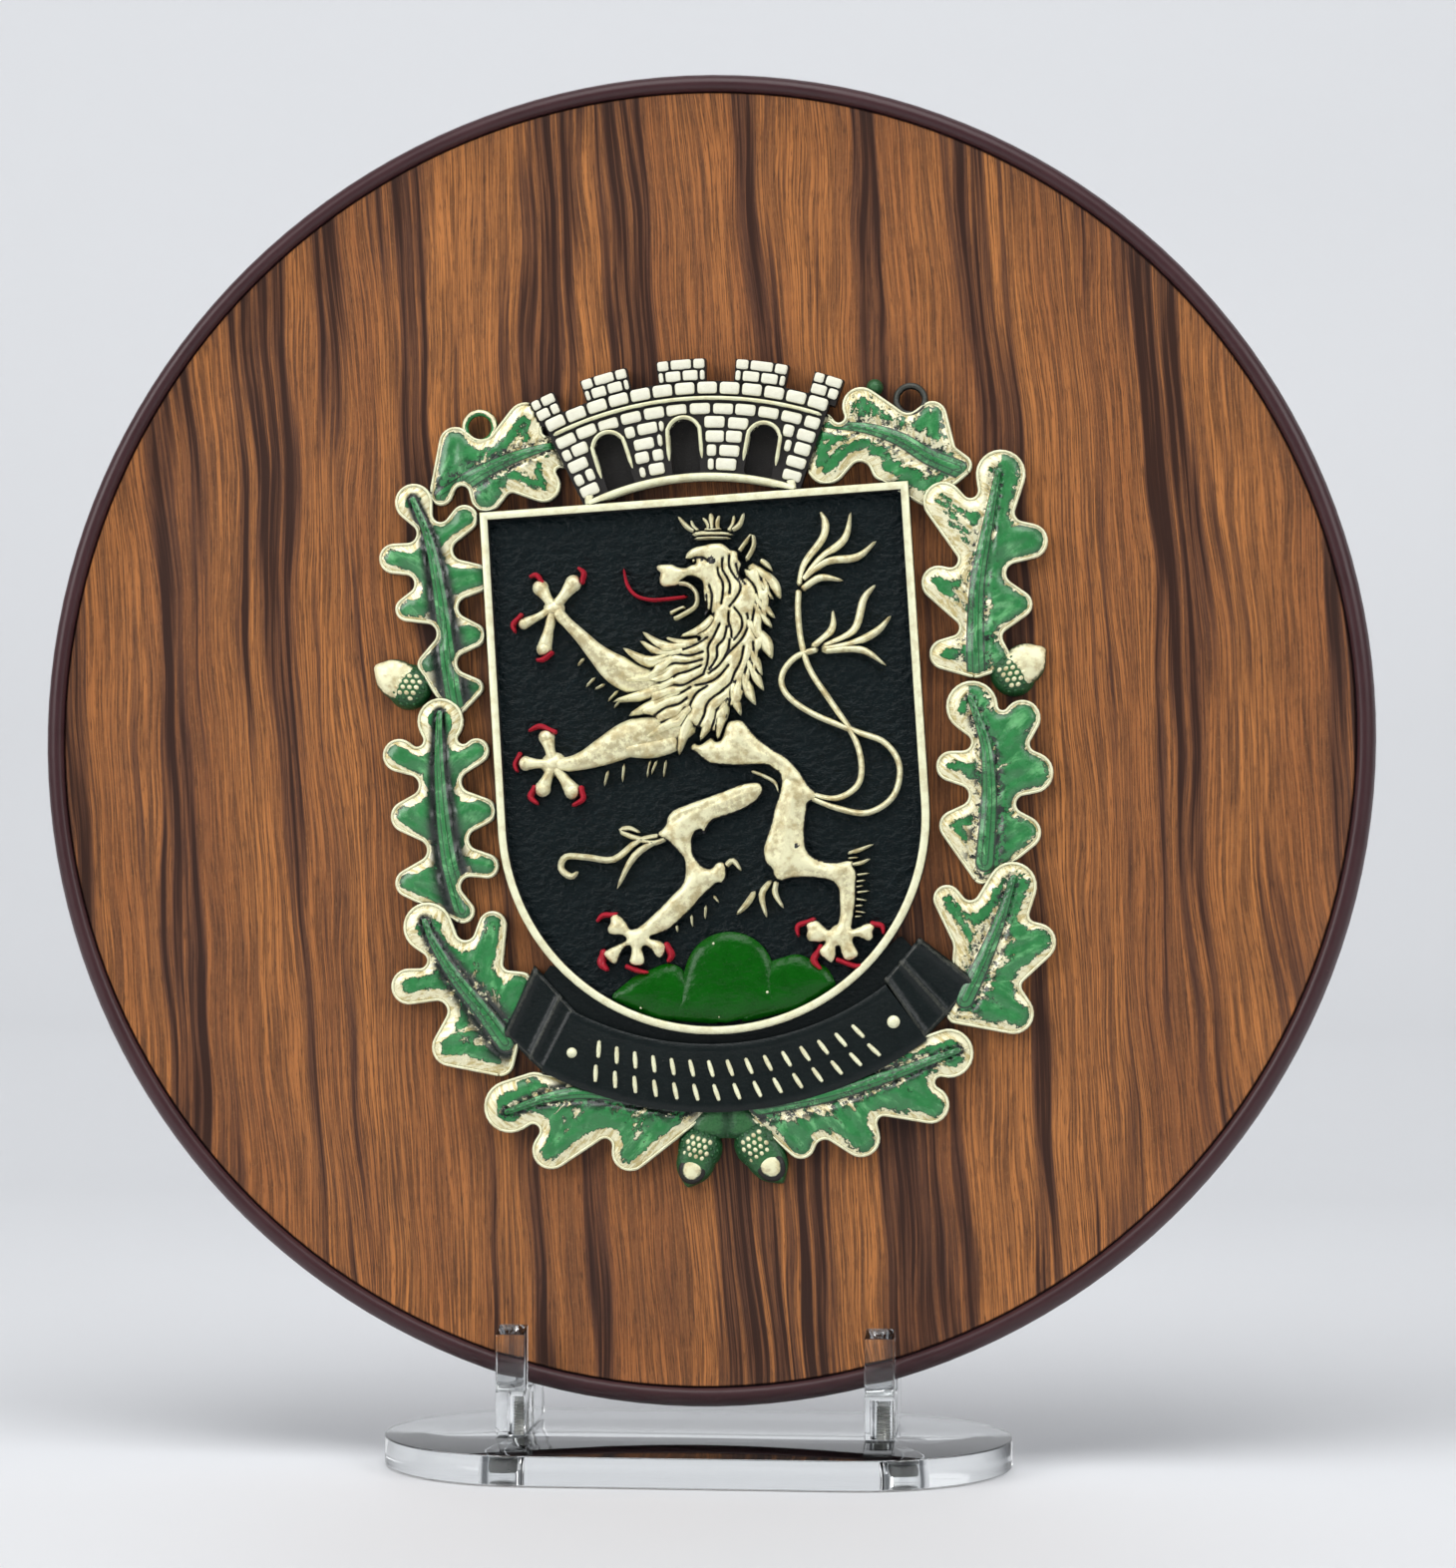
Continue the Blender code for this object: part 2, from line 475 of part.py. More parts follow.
def stroke(stations, root, top, steps=1, flat=0.5):
    """A tapered ridge along (x, y, half width) stations, its section a trapezium or a triangle."""
    path = curve_through(stations, steps)
    bm = bmesh.new()
    rings = []
    for index, station in enumerate(path):
        before = path[max(index - 1, 0)]
        after = path[min(index + 1, len(path) - 1)]
        along = Vector((after.x - before.x, after.y - before.y)).normalized()
        side = Vector((-along.y, along.x))
        width = max(station.z, 0.12)
        middle = Vector((station.x, station.y))
        crest = top if 0 < index < len(path) - 1 else root + 0.75 * (top - root)
        ring = [(*(middle - side * width), root)]
        if flat and width > 1.0:
            ring += [(*(middle - side * width * flat), crest), (*(middle + side * width * flat), crest)]
        elif flat:
            ring += [(*(middle - side * 0.3 * width), crest), (*(middle + side * 0.3 * width), crest)]
        else:
            ring += [(*middle, crest)]
        ring += [(*(middle + side * width), root)]
        rings.append([bm.verts.new(co) for co in ring])
    for low, high in zip(rings, rings[1:]):
        for i in range(len(low)):
            j = (i + 1) % len(low)
            bm.faces.new((low[i], low[j], high[j], high[i]))
    bm.faces.new(rings[0])
    bm.faces.new(rings[-1])
    return bm


def tapered(points, half_width):
    """Give points a half width that swells from the root and runs out at the tip."""
    last = len(points) - 1
    return [(x, y, half_width * (0.75 if i == 0 else 1.0 if i < last else 0.2))
            for i, (x, y) in enumerate(points)]


def leaf(midrib, lobes):
    """An oak leaf: domed lobes round a midrib, its tip lifted over its neighbour."""
    outline = thin_out(belt(with_bays(lobes), LEAF_STEP_DEG), 0.5)
    root, tip = Vector(midrib[0]), Vector(midrib[-1])
    axis = tip - root

    def lift(x, y):
        share = (Vector((x, y)) - root).dot(axis) / axis.length_squared
        return TIP_LIFT * min(max(share, 0.0), 1.0)

    veins = []
    for lobe in lobes[1:]:
        if lobe is LINE or lobe[2] < 2.2:
            continue
        centre = Vector(lobe[:2])
        along = min((centre - Vector(p)).length for p in midrib)
        foot = min(midrib, key=lambda p: (Vector(p) - centre + axis.normalized() * 0.5 * along).length)
        if along > 2.5:
            veins.append([tuple(centre.lerp(Vector(foot), 0.7)), tuple(centre)])
    crests = {tuple(round(c, 3) for c in p) for vein in veins for p in vein}

    def height(x, y, on_edge):
        if on_edge:
            return WREATH_EDGE + lift(x, y)
        raised = 1.0 if (round(x, 3), round(y, 3)) in crests else 0.75
        return WREATH_EDGE + LEAF_DOME * raised + lift(x, y)

    return relief(outline, [midrib[1:-1], *veins], height)


def shield():
    """The shield: straight sides, half-round foot, a raised border and a sunk field."""
    centre = (0, SHIELD_ARC_Y)
    outline = [(SHIELD_HALF_WIDTH, SHIELD_TOP), (-SHIELD_HALF_WIDTH, SHIELD_TOP)]
    outline += arc(centre, SHIELD_HALF_WIDTH, 180, 360, 24)
    bm = prism(outline, 0, BORDER_Z)
    bmesh.ops.recalc_face_normals(bm, faces=bm.faces)
    top = max(bm.faces, key=lambda f: f.calc_center_median().z)
    bmesh.ops.inset_region(bm, faces=[top], thickness=BORDER_WIDTH, use_even_offset=True)
    top = max(bm.faces, key=lambda f: (f.calc_center_median().z, f.calc_area()))
    sunk = bmesh.ops.extrude_face_region(bm, geom=[top])["geom"]
    bmesh.ops.delete(bm, geom=[top], context="FACES_ONLY")
    floor = [v for v in sunk if isinstance(v, bmesh.types.BMVert)]
    bmesh.ops.translate(bm, vec=(0, 0, FIELD_Z - BORDER_Z), verts=floor)
    return bm


def sector(inner, outer, start, end, low, high, steps, centre):
    """A slice of a ring, with angles measured clockwise from straight up."""
    outline = arc(centre, outer, 90 - start, 90 - end, steps)
    outline += arc(centre, inner, 90 - end, 90 - start, steps)
    return prism(outline, low, high)


def window_outline(angle, top_radius, margin):
    """An arched opening that stands radially in the crown's wall."""
    half = WINDOW_HALF + margin
    spring = top_radius - WINDOW_FRAME - WINDOW_HALF
    foot = CROWN_WALL_FOOT + (0.2 if margin else 0.0)
    shape = [(-half, foot), (half, foot)] + arc((0, spring), half, 0, 180, 6)
    turn = Matrix.Rotation(-radians(angle), 2)
    return [tuple(turn @ Vector(p) + Vector(CROWN_CENTRE)) for p in shape]


def crown_parts():
    """The mural crown's wall, bands, merlons, window frames and feet."""
    parts = []
    for inner, outer, reach, low, high in CROWN_RINGS:
        half = CROWN_HALF_ANGLE + reach
        parts.append(sector(inner, outer, -half, half, low, high, 12, CROWN_CENTRE))
    for angle, half in MERLONS:
        parts.append(sector(*MERLON_RADII, angle - half, angle + half, 0, CROWN_WALL_Z, 2, CROWN_CENTRE))
    for angle, top_radius in WINDOWS:
        parts.append(prism(window_outline(angle, top_radius, WINDOW_FRAME), 0.5, BAND_Z))
    low, high = CROWN_FOOT_Y
    for x in CROWN_FEET:
        left, right = x - CROWN_FOOT_HALF, x + CROWN_FOOT_HALF
        parts.append(prism([(left, low), (right, low), (right, high), (left, high)], 0.3, BAND_Z - 0.1))
    return parts


def ribbon_parts():
    """The ribbon's front band, its two folded tails and the web that joins it to the shield."""
    start, end = RIBBON_ANGLES
    band = sector(RIBBON_INNER, RIBBON_OUTER, start, end, 0.2, RIBBON_Z, 22, RIBBON_CENTRE)
    web = sector(WEB_RADIUS, RIBBON_INNER + 1, start + WEB_TRIM_DEG, end - WEB_TRIM_DEG,
                 0, WREATH_EDGE - 0.3, 18, RIBBON_CENTRE)
    return [band, web, *(prism(corners, 0.4, RIBBON_TAIL_Z) for corners in RIBBON_TAILS)]


def inscription_marks():
    """Rows of short slanting strokes along the ribbon, in place of an inscription."""
    marks = []
    half_length, half_slant = MARK_HALF
    for row, radius in enumerate(MARK_RADII):
        for i in range(MARKS_PER_ROW):
            angle = radians(MARK_START_DEG + MARK_STEP_DEG * i + MARK_SHIFT_DEG * row)
            middle = Vector(RIBBON_CENTRE) + radius * Vector((sin(angle), -cos(angle)))
            slant = Matrix.Rotation(angle, 2) @ Vector((half_length, half_slant))
            ends = [(*(middle - slant), MARK_HALF_WIDTH), (*(middle + slant), MARK_HALF_WIDTH)]
            marks.append(stroke(ends, RIBBON_Z - MARK_SUNK, RIBBON_Z + MARK_RAISED))
    return marks


def lion_parts():
    """The lion: body and limbs, toes, claws, mane, tails and thin curls."""
    parts = [stroke(s, LION_ROOT, LION_Z, 1, 0.55) for s in LION_BODY]
    for (x, y, width), *knobs in PAWS:
        for rank, (kx, ky, knob) in enumerate(knobs):
            root = (x + 0.12 * (kx - x), y + 0.12 * (ky - y), 0.7 * width)
            parts.append(stroke([root, (kx, ky, knob)], LION_ROOT, TOE_Z - TOE_STEP * rank))
    parts += [stroke(s, LION_ROOT, CLAW_Z, 1, 0) for s in CLAWS]
    parts += [stroke(tapered(p, w), LION_ROOT, LOCK_Z, 1, 0) for p, w in LOCKS]
    for stem in TAILS:
        parts.append(stroke([(x, y, TAIL_HALF_WIDTH) for x, y in stem], LION_ROOT, TAIL_Z, 1, 0))
    parts += [stroke(tapered(p, TUFT_HALF_WIDTH), LION_ROOT, TUFT_Z, 1, 0) for p in TUFTS]
    parts += [stroke(tapered(p, w), LION_ROOT, CURL_Z, 1, 0) for p, w in CURLS]
    return parts


def disc(x, y, radius, low, high, steps):
    return prism(arc((x, y), radius, 0, 360, steps)[:-1], low, high)


def drawn_parts():
    """Every form of the casting, as closed meshes in the casting's own drawing."""
    parts = [leaf(*data) for data in LEAVES.values()]
    parts += [stroke(stations, 0.15, ACORN_Z, 1, 0.6) for stations in ACORNS]
    parts += [prism(belt(STEM, 45), 0.25, STEM_Z)]
    parts += [disc(x, y, outer, 0.3, EYELET_Z, 16) for x, y, _, outer in EYELETS]
    parts += [disc(*BUD, 0.35, BUD_Z, 10)]
    parts += crown_parts() + ribbon_parts() + inscription_marks()
    for discs, top in MOUNT_TOPS:
        outline = thin_out(belt(discs, 36), 0.6)
        middle = (sum(p[0] for p in outline) / len(outline), sum(p[1] for p in outline) / len(outline))
        inner = [tuple(Vector(middle).lerp(Vector(p), 0.6)) for p in outline[::3]]
        parts.append(relief(outline, [inner + inner[:1]],
                            lambda x, y, on_edge, top=top: top - MOUNT_SHOULDER * on_edge, LION_ROOT))
    return parts + lion_parts()


def boolean(obj, operation, operands):
    """Join or cut with a whole collection of operands at once."""
    modifier = obj.modifiers.new(operation.title(), "BOOLEAN")
    modifier.operation = operation
    modifier.operand_type = "COLLECTION"
    modifier.collection = operands
    modifier.solver = "EXACT"


def tool_collection(name, meshes, surface, parent):
    """Hidden operands for a boolean, as wires."""
    tools = bpy.data.collections.new(name)
    bpy.context.scene.collection.children.link(tools)
    for index, bm in enumerate(meshes):
        tool = add_object(f"{name}_{index:03d}", bm, surface, parent)
        bpy.context.scene.collection.objects.unlink(tool)
        tools.objects.link(tool)
        tool.hide_render = True
        tool.display_type = "WIRE"
    return tools


def to_board(meshes):
    """Bring drawn parts to their real size and place on the board's front."""
    back = FACE_Z + GAP
    place = Matrix.Translation((ARMS_OFFSET_X, 0, back)) @ Matrix.Diagonal(
        (ARMS_SCALE, ARMS_SCALE, 1, 1))
    for bm in meshes:
        bm.transform(place)
    return meshes


def make_casting(board):
    green = material("painted_casting", GREEN, 0.4)
    body, *others = to_board([shield(), *drawn_parts()])
    casting = add_object("coat_of_arms_casting", body, green, board)
    boolean(casting, "UNION", tool_collection("casting_form", others, green, board))
    holes = [prism(window_outline(angle, top, 0), -1, 6) for angle, top in WINDOWS]
    holes += [disc(x, y, hole, -1, 6, 12) for x, y, hole, _ in EYELETS]
    boolean(casting, "DIFFERENCE", tool_collection("casting_hole", to_board(holes), green, board))
    return casting


def make_board(board):
    front, back = BOARD_HALF_THICKNESS, -BOARD_HALF_THICKNESS
    seat = FACE_Z - FACE_THICKNESS - GAP
    lip = FACE_RADIUS + LIP_GAP
    plate = lathe([
        (FOOT_RING_RADIUS - FOOT_RING_SLOPE, back + BACK_RECESS), (FOOT_RING_RADIUS, back), *BEAD,
        (lip, front - LIP_DROP), (lip, seat + COVE_RISE), (COVE_RADIUS, seat)], BOARD_SEGMENTS)
    add_object("backing_plate", plate, material("brown_moulding", BROWN, 0.35), board)
    face = lathe([
        (COVE_RADIUS, FACE_Z - FACE_THICKNESS), (FACE_RADIUS, FACE_Z - FACE_THICKNESS + COVE_RISE),
        (FACE_RADIUS, FACE_Z + COVE_RISE), (COVE_RADIUS + COVE_BEND[0], FACE_Z + COVE_BEND[1]),
        (COVE_RADIUS, FACE_Z)],
        BOARD_SEGMENTS)
    add_object("wood_grain_face", face, material("wood_print", WOOD, 0.4), board)


def arm_profile():
    """One arm from the side as (y, z): prong, seat and an upright that leans with the board."""
    lean = radians(LEAN_DEG)
    centre_y, centre_z = BOARD_CENTRE[1], BOARD_CENTRE[2]

    def board_back(z):
        return centre_y - (centre_z - z) * sin(lean) / cos(lean) + (BOARD_HALF_THICKNESS + GAP) / cos(lean)

    inner_edge = ARM_X - SHEET / 2
    seat = centre_z - sqrt(BOARD_RADIUS ** 2 - inner_edge ** 2) * cos(lean) - 2 * GAP
    notch = ARM_FRONT + PRONG_DEPTH
    upright_back = board_back(UPRIGHT_TOP) + UPRIGHT_TOP_DEPTH
    return [
        (ARM_FRONT, SHEET + GAP), (ARM_BACK, SHEET + GAP), (ARM_BACK, SHEET + ARM_HEEL),
        (upright_back, UPRIGHT_TOP - UPRIGHT_CHAMFER), (upright_back - UPRIGHT_CHAMFER, UPRIGHT_TOP),
        (board_back(UPRIGHT_TOP), UPRIGHT_TOP), (board_back(seat), seat), (notch, seat),
        (notch, PRONG_TOP_BACK), (ARM_FRONT, PRONG_TOP_FRONT)]


def make_stand():
    clear = material("clear_acrylic", CLEAR, 0.05, 0.0, 1.0)
    steel = material("screw_steel", STEEL, 0.3, 1.0)
    straight = (BASE_LENGTH - BASE_DEPTH) / 2
    outline = arc((straight, 0), BASE_DEPTH / 2, -90, 90, BASE_END_STEPS)
    outline += arc((-straight, 0), BASE_DEPTH / 2, 90, 270, BASE_END_STEPS)
    slab = prism(outline, 0, SHEET)
    rims = [e for e in slab.edges if abs(e.verts[0].co.z - e.verts[1].co.z) < 1e-6]
    bmesh.ops.bevel(slab, geom=rims, offset=EDGE_EASE, affect="EDGES", segments=1, profile=0.5,
                    material=-1)
    base = add_object("stand_base", slab, clear)
    counterbore = SCREW_HEAD_HEIGHT + 2 * GAP
    bores = []
    for side, x in (("left", -ARM_X), ("right", ARM_X)):
        arm = prism(arm_profile(), -SHEET / 2, SHEET / 2)
        arm.transform(Matrix(((0, 0, 1, x), (1, 0, 0, 0), (0, 1, 0, 0), (0, 0, 0, 1))))
        arm_object = add_object(f"stand_arm_{side}", arm, clear)
        screw = lathe([(SCREW_HEAD_RADIUS, GAP), (SCREW_HEAD_RADIUS, GAP + SCREW_HEAD_HEIGHT),
                       (SCREW_RADIUS, GAP + SCREW_HEAD_HEIGHT), (SCREW_RADIUS, SCREW_LENGTH)],
                      SCREW_SEGMENTS)
        screw.transform(Matrix.Translation((x, SCREW_Y, 0)))
        add_object(f"stand_screw_{side}", screw, steel)
        bore = lathe([(SCREW_HEAD_RADIUS + GAP, -1), (SCREW_HEAD_RADIUS + GAP, counterbore),
                      (SCREW_RADIUS + GAP, counterbore), (SCREW_RADIUS + GAP, SCREW_LENGTH + GAP)],
                     SCREW_SEGMENTS)
        bore.transform(Matrix.Translation((x, SCREW_Y, 0)))
        bores.append(bore)
        boolean(arm_object, "DIFFERENCE",
                tool_collection(f"arm_bore_{side}", [bore.copy()], steel, None))
    boolean(base, "DIFFERENCE", tool_collection("base_bore", bores, steel, None))


def main():
    clear_scene()
    board = bpy.data.objects.new("plaque", None)
    bpy.context.scene.collection.objects.link(board)
    board.matrix_world = (Matrix.Translation(Vector(BOARD_CENTRE) * MM)
                          @ Matrix.Rotation(radians(90 - LEAN_DEG), 4, "X")
                          @ Matrix.Rotation(radians(ROLL_DEG), 4, "Z"))
    make_board(board)
    make_casting(board)
    make_stand()


main()
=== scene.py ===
"""Finish and fine relief of a round plaque with a cast coat of arms, on its clear cradle stand.

The casting is drawn in millimetres on its own face: x to the right, y up, z towards the viewer
from the casting's flat back. Every piece ends up in metres, in the frame's own place.
"""

from math import atan2, ceil, cos, hypot, pi, radians, sin, sqrt, tau
from random import Random

import bmesh
import bpy
import numpy as np
from mathutils import Matrix, Vector


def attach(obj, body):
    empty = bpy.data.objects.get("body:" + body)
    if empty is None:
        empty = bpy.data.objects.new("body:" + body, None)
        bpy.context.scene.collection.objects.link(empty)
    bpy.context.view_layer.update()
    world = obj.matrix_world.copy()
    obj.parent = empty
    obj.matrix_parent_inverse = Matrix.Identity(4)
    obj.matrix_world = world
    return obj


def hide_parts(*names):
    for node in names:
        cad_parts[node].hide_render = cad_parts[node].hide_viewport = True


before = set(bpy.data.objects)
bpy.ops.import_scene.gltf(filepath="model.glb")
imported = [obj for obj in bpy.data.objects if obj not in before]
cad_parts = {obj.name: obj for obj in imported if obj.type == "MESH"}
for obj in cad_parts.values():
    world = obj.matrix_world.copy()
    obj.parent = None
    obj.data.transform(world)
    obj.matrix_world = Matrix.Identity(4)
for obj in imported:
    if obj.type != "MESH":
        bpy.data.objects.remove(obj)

bl_info = {
    "name": "Coat of arms plaque",
    "version": (1, 0, 0),
    "blender": (4, 5, 0),
    "location": "3D View > Sidebar > Plaque",
    "description": "Board, painted casting and clear stand of a round heraldic plaque",
    "category": "Object",
}

MM = 0.001
LINE = None
LEAN = radians(3.48)
ROLL = radians(3.9)
BOARD_CENTRE = Vector((0.0, 10.1, 150.55)) * MM
BOARD_RADIUS = 140.0
BOARD_BACK, BOARD_FRONT = -3.75, 3.75
BEAD_START, BEAD_INNER = 136.2, 135.6
FACE_Z = 1.0
FACE_FLAT = 124.0
FACE_EDGE = 135.2
COVE_WIDTH, COVE_RISE, COVE_STEPS = 11.0, 1.45, 12
ARMS_SCALE = 0.994
ARMS_OFFSET_X = 1.5
CASTING_BACK = 1.3
PLAQUE_TURN = Matrix.Rotation(pi / 2 - LEAN, 4, "X") @ Matrix.Rotation(ROLL, 4, "Z")
PLAQUE = Matrix.Translation(BOARD_CENTRE) @ PLAQUE_TURN
TO_METRES = Matrix.Diagonal((MM, MM, MM, 1))
ARMS = (PLAQUE @ TO_METRES @ Matrix.Translation((ARMS_OFFSET_X, 0, CASTING_BACK))
        @ Matrix.Diagonal((ARMS_SCALE, ARMS_SCALE, 1, 1)))

# Heights on the casting, and the bead round each leaf
LEAF_EDGE = 2.0
LEAF_TIP_RISE = 0.9
FIELD = 2.3
BORDER = 4.4
LION = 4.8
ROOT = 1.9
CROWN_WALL = 3.0
BRICK = 3.75
BAND = 4.2
RIBBON = 4.3
BEAD_INSET = 0.34
BEAD_HALF = 0.36

CROWN_CENTRE = (-0.3, -5.0)
CROWN_HALF_ANGLE = 22.7
RIBBON_CENTRE = (0.0, -3.3)

# A leaf is its midrib, the round lobes of its edge (x, y, radius; negative for a hollow, LINE for a
# straight edge), and its paint: gold left and right of the midrib, dark patina, more gold towards the
# tip, more gold in the bays between lobes
LEAVES = {
    "left_top": (
        [(-53, 53.5), (-47, 57), (-40, 60), (-33, 62), (-28, 63)],
        [(-53.5, 54.5, 2.5), (-43.8, 53.2, 3.4), (-38.3, 52.0, -1.5), (-31.5, 54.6, 3.6), (-27, 62, 4),
         (-34.5, 68.5, 4), (-44.0, 68.4, -3), (-49.8, 65, 3.5), LINE], (0.46, 0.48, 0.42, 0.40, 0.08)),
    "left_upper": (
        [(-53, 9), (-54, 20), (-54.8, 33), (-56.3, 44), (-59.3, 53.5)],
        [(-53, 10.5, 3), LINE, (-48.8, 13, 2), (-48.3, 24, 2.6), (-46.8, 36, 3), (-48.7, 48.8, 2.9),
         (-59.3, 53, 4), (-64.2, 41.4, 3.2), (-62, 30.5, 2.6), (-58.2, 18.5, 2.4), LINE],
        (0.34, 0.32, 0.60, 0.0, 0.40)),
    "left_middle": (
        [(-54, -34), (-56.3, -22), (-57, -8), (-56.8, 2), (-56.3, 8)],
        [(-54, -34, 2.5), (-48.3, -24.8, 2.6), (-48.4, -13.2, 2.8), (-49, -0.5, 2.7), (-56.3, 6.3, 4.9),
         (-65.5, -0.3, 3.5), (-64.7, -13.3, 3.4), (-65, -27.3, 3), LINE], (0.34, 0.32, 0.62, 0.0, 0.42)),
    "left_lower": (
        [(-46.5, -62), (-51, -55), (-56, -48), (-60, -41), (-62, -35.5)],
        [(-48, -66, 3), LINE, (-42.6, -50, 2.6), (-44.7, -45.6, -1.4), (-47.8, -37.3, 3),
         (-61.5, -36.8, 5.2), (-66.2, -49, 3.8), (-58.2, -62.3, 4), LINE], (0.49, 0.45, 0.52, 0.05, 0.25)),
    "left_bottom": (
        [(-10, -76.5), (-28, -73.5), (-38, -74), (-47, -76.5)],
        [(-6, -78, 2), LINE, (-41, -71.5, 3), (-46.3, -75.4, 5.5), (-38.2, -85, 4), (-26.9, -84.8, -1.5),
         (-21.7, -86.5, 3.9), LINE], (0.45, 0.50, 0.46, 0.0, 0.2)),
    "right_bottom": (
        [(6, -78.5), (20, -77), (33, -74), (42, -71.3), (48, -69.5)],
        [(4, -78.5, 2), LINE, (14, -87, 3), (19, -88.4, -2.1), (26.6, -86.4, 4), (31.6, -83.6, -1.4),
         (41.5, -80.4, 3.9), (46, -70, 5.1), LINE], (0.49, 0.44, 0.44, 0.0, 0.12)),
    "right_lower": (
        [(50, -59), (54, -52), (58, -44), (61.8, -34.5)],
        [(48, -62, 2), LINE, (59.8, -62.6, 4.3), (63.4, -57.2, -1.5), (65.7, -48.2, 4),
         (65.9, -42.6, -1.4), (61.4, -36.3, 5.1), (52.6, -36.8, -1.8), (47.7, -38, 2.9),
         (44.8, -48, -3.5)], (0.525, 0.45, 0.40, 0.0, 0.1)),
    "right_middle": (
        [(56, -31), (57.8, -18), (58, -8), (56.8, -2), (55.3, 3.5)],
        [(55.5, -33, 2.5), LINE, (64.6, -25.3, 3.5), (67.2, -13, 4.3), (68.6, -7.1, -1.6),
         (65.8, -1.5, 3.8), (55.5, 1.6, 5.4), (50.4, -10.5, 3.2), (50.2, -22.9, 3.2), LINE],
        (0.53, 0.40, 0.42, 0.0, 0.1)),
    "right_upper": (
        [(56.8, 8), (57.3, 18), (58.5, 28), (61, 38), (64.3, 50.5)],
        [(56.8, 10, 2.5), LINE, (62.5, 11, 2), (64.6, 15.6, -1.8), (66.6, 22.3, 2.9), (69.9, 35.3, 3.7),
         (69, 41.4, -1.9), (64.7, 49.7, 5.2), (52.3, 44.9, 4.2), (53, 32.6, -1.6), (50.2, 28, 3.6),
         (52.2, 18.4, -1.7), (50.5, 13, 3.2), LINE], (0.53, 0.40, 0.38, 0.0, 0.1)),
    "right_top": (
        [(56, 51.5), (50, 54.5), (44, 58.7), (37, 61.5), (29, 62.8)],
        [(56.5, 52.3, 2.4), (57, 57, -1.5), (51.2, 63.2, 3.1), (46.4, 66.6, -2.4), (36.5, 66.3, 4),
         (27, 62, 4), (28.5, 54.5, 4.2), (35.4, 52.4, -2.2), (40.2, 52.6, 2.4), LINE,
         (48.8, 47.5, 3), LINE], (0.51, 0.52, 0.40, 0.1, 0.0)),
}

# An acorn: its stem, its tip, its half width, and whether its nut is gilt all over
ACORNS = (
    ((-58.8, 11.5), (-69.8, 19.0), 4.8, True),
    ((60.5, 5.5), (71.3, 12.8), 4.9, True),
    ((-5.5, -82.0), (-10.2, -94.3), 4.6, False),
    ((2.2, -82.0), (9.6, -94.6), 4.8, False),
)

# The mount's three tops, each a hull of discs, and its height
MOUNT_TOPS = (
    ([(-11.5, -51.7, 4), (-17, -53.2, 3.6), (-22.6, -53.9, 0.9), (-14, -58.3, 1), (-2, -60, 0.8)], 4.1),
    ([(15.3, -51.5, 4), (11, -52.5, 4), (4, -60, 0.8), (15, -58, 1), (22.5, -54, 0.9), (19.5, -53, 3.2)],
     4.15),
    ([(1.4, -51.3, 9.4), (-9, -57.5, 1.5), (0, -60, 0.8), (10, -57.5, 1.5)], 4.7),
)

# Stray specks of cream paint on the mount: x, y, radius, height
MOUNT_SPECKS = ((-1.4, -44.2, 0.5, 5.0), (9.2, -55.0, 0.55, 5.1), (-1.2, -59.5, 0.25, 4.9),
                (-17.5, -56.6, 0.35, 4.5))

# The forelegs, from root to end: x, y, half width
FORELEGS = (
    [(-5, 9, 3.0), (-13, 11.6, 3.4), (-18.4, 14.6, 3.2), (-22.3, 18.3, 2.1), (-25.3, 21.9, 1.5),
     (-28.4, 25.4, 1.2), (-30.8, 28.3, 1.5)],
    [(-2, 3, 3.2), (-9.5, 1.2, 3.6), (-16, 0.0, 3.9), (-22, -2.4, 3), (-26, -3.9, 2.1),
     (-29.5, -4.6, 1.6), (-33, -4.6, 1.7)],
    [(-18, -2.6, 1.2), (-13, -2.6, 2), (-9.5, -2.2, 2), (-5.5, -1.4, 1.6)],
)

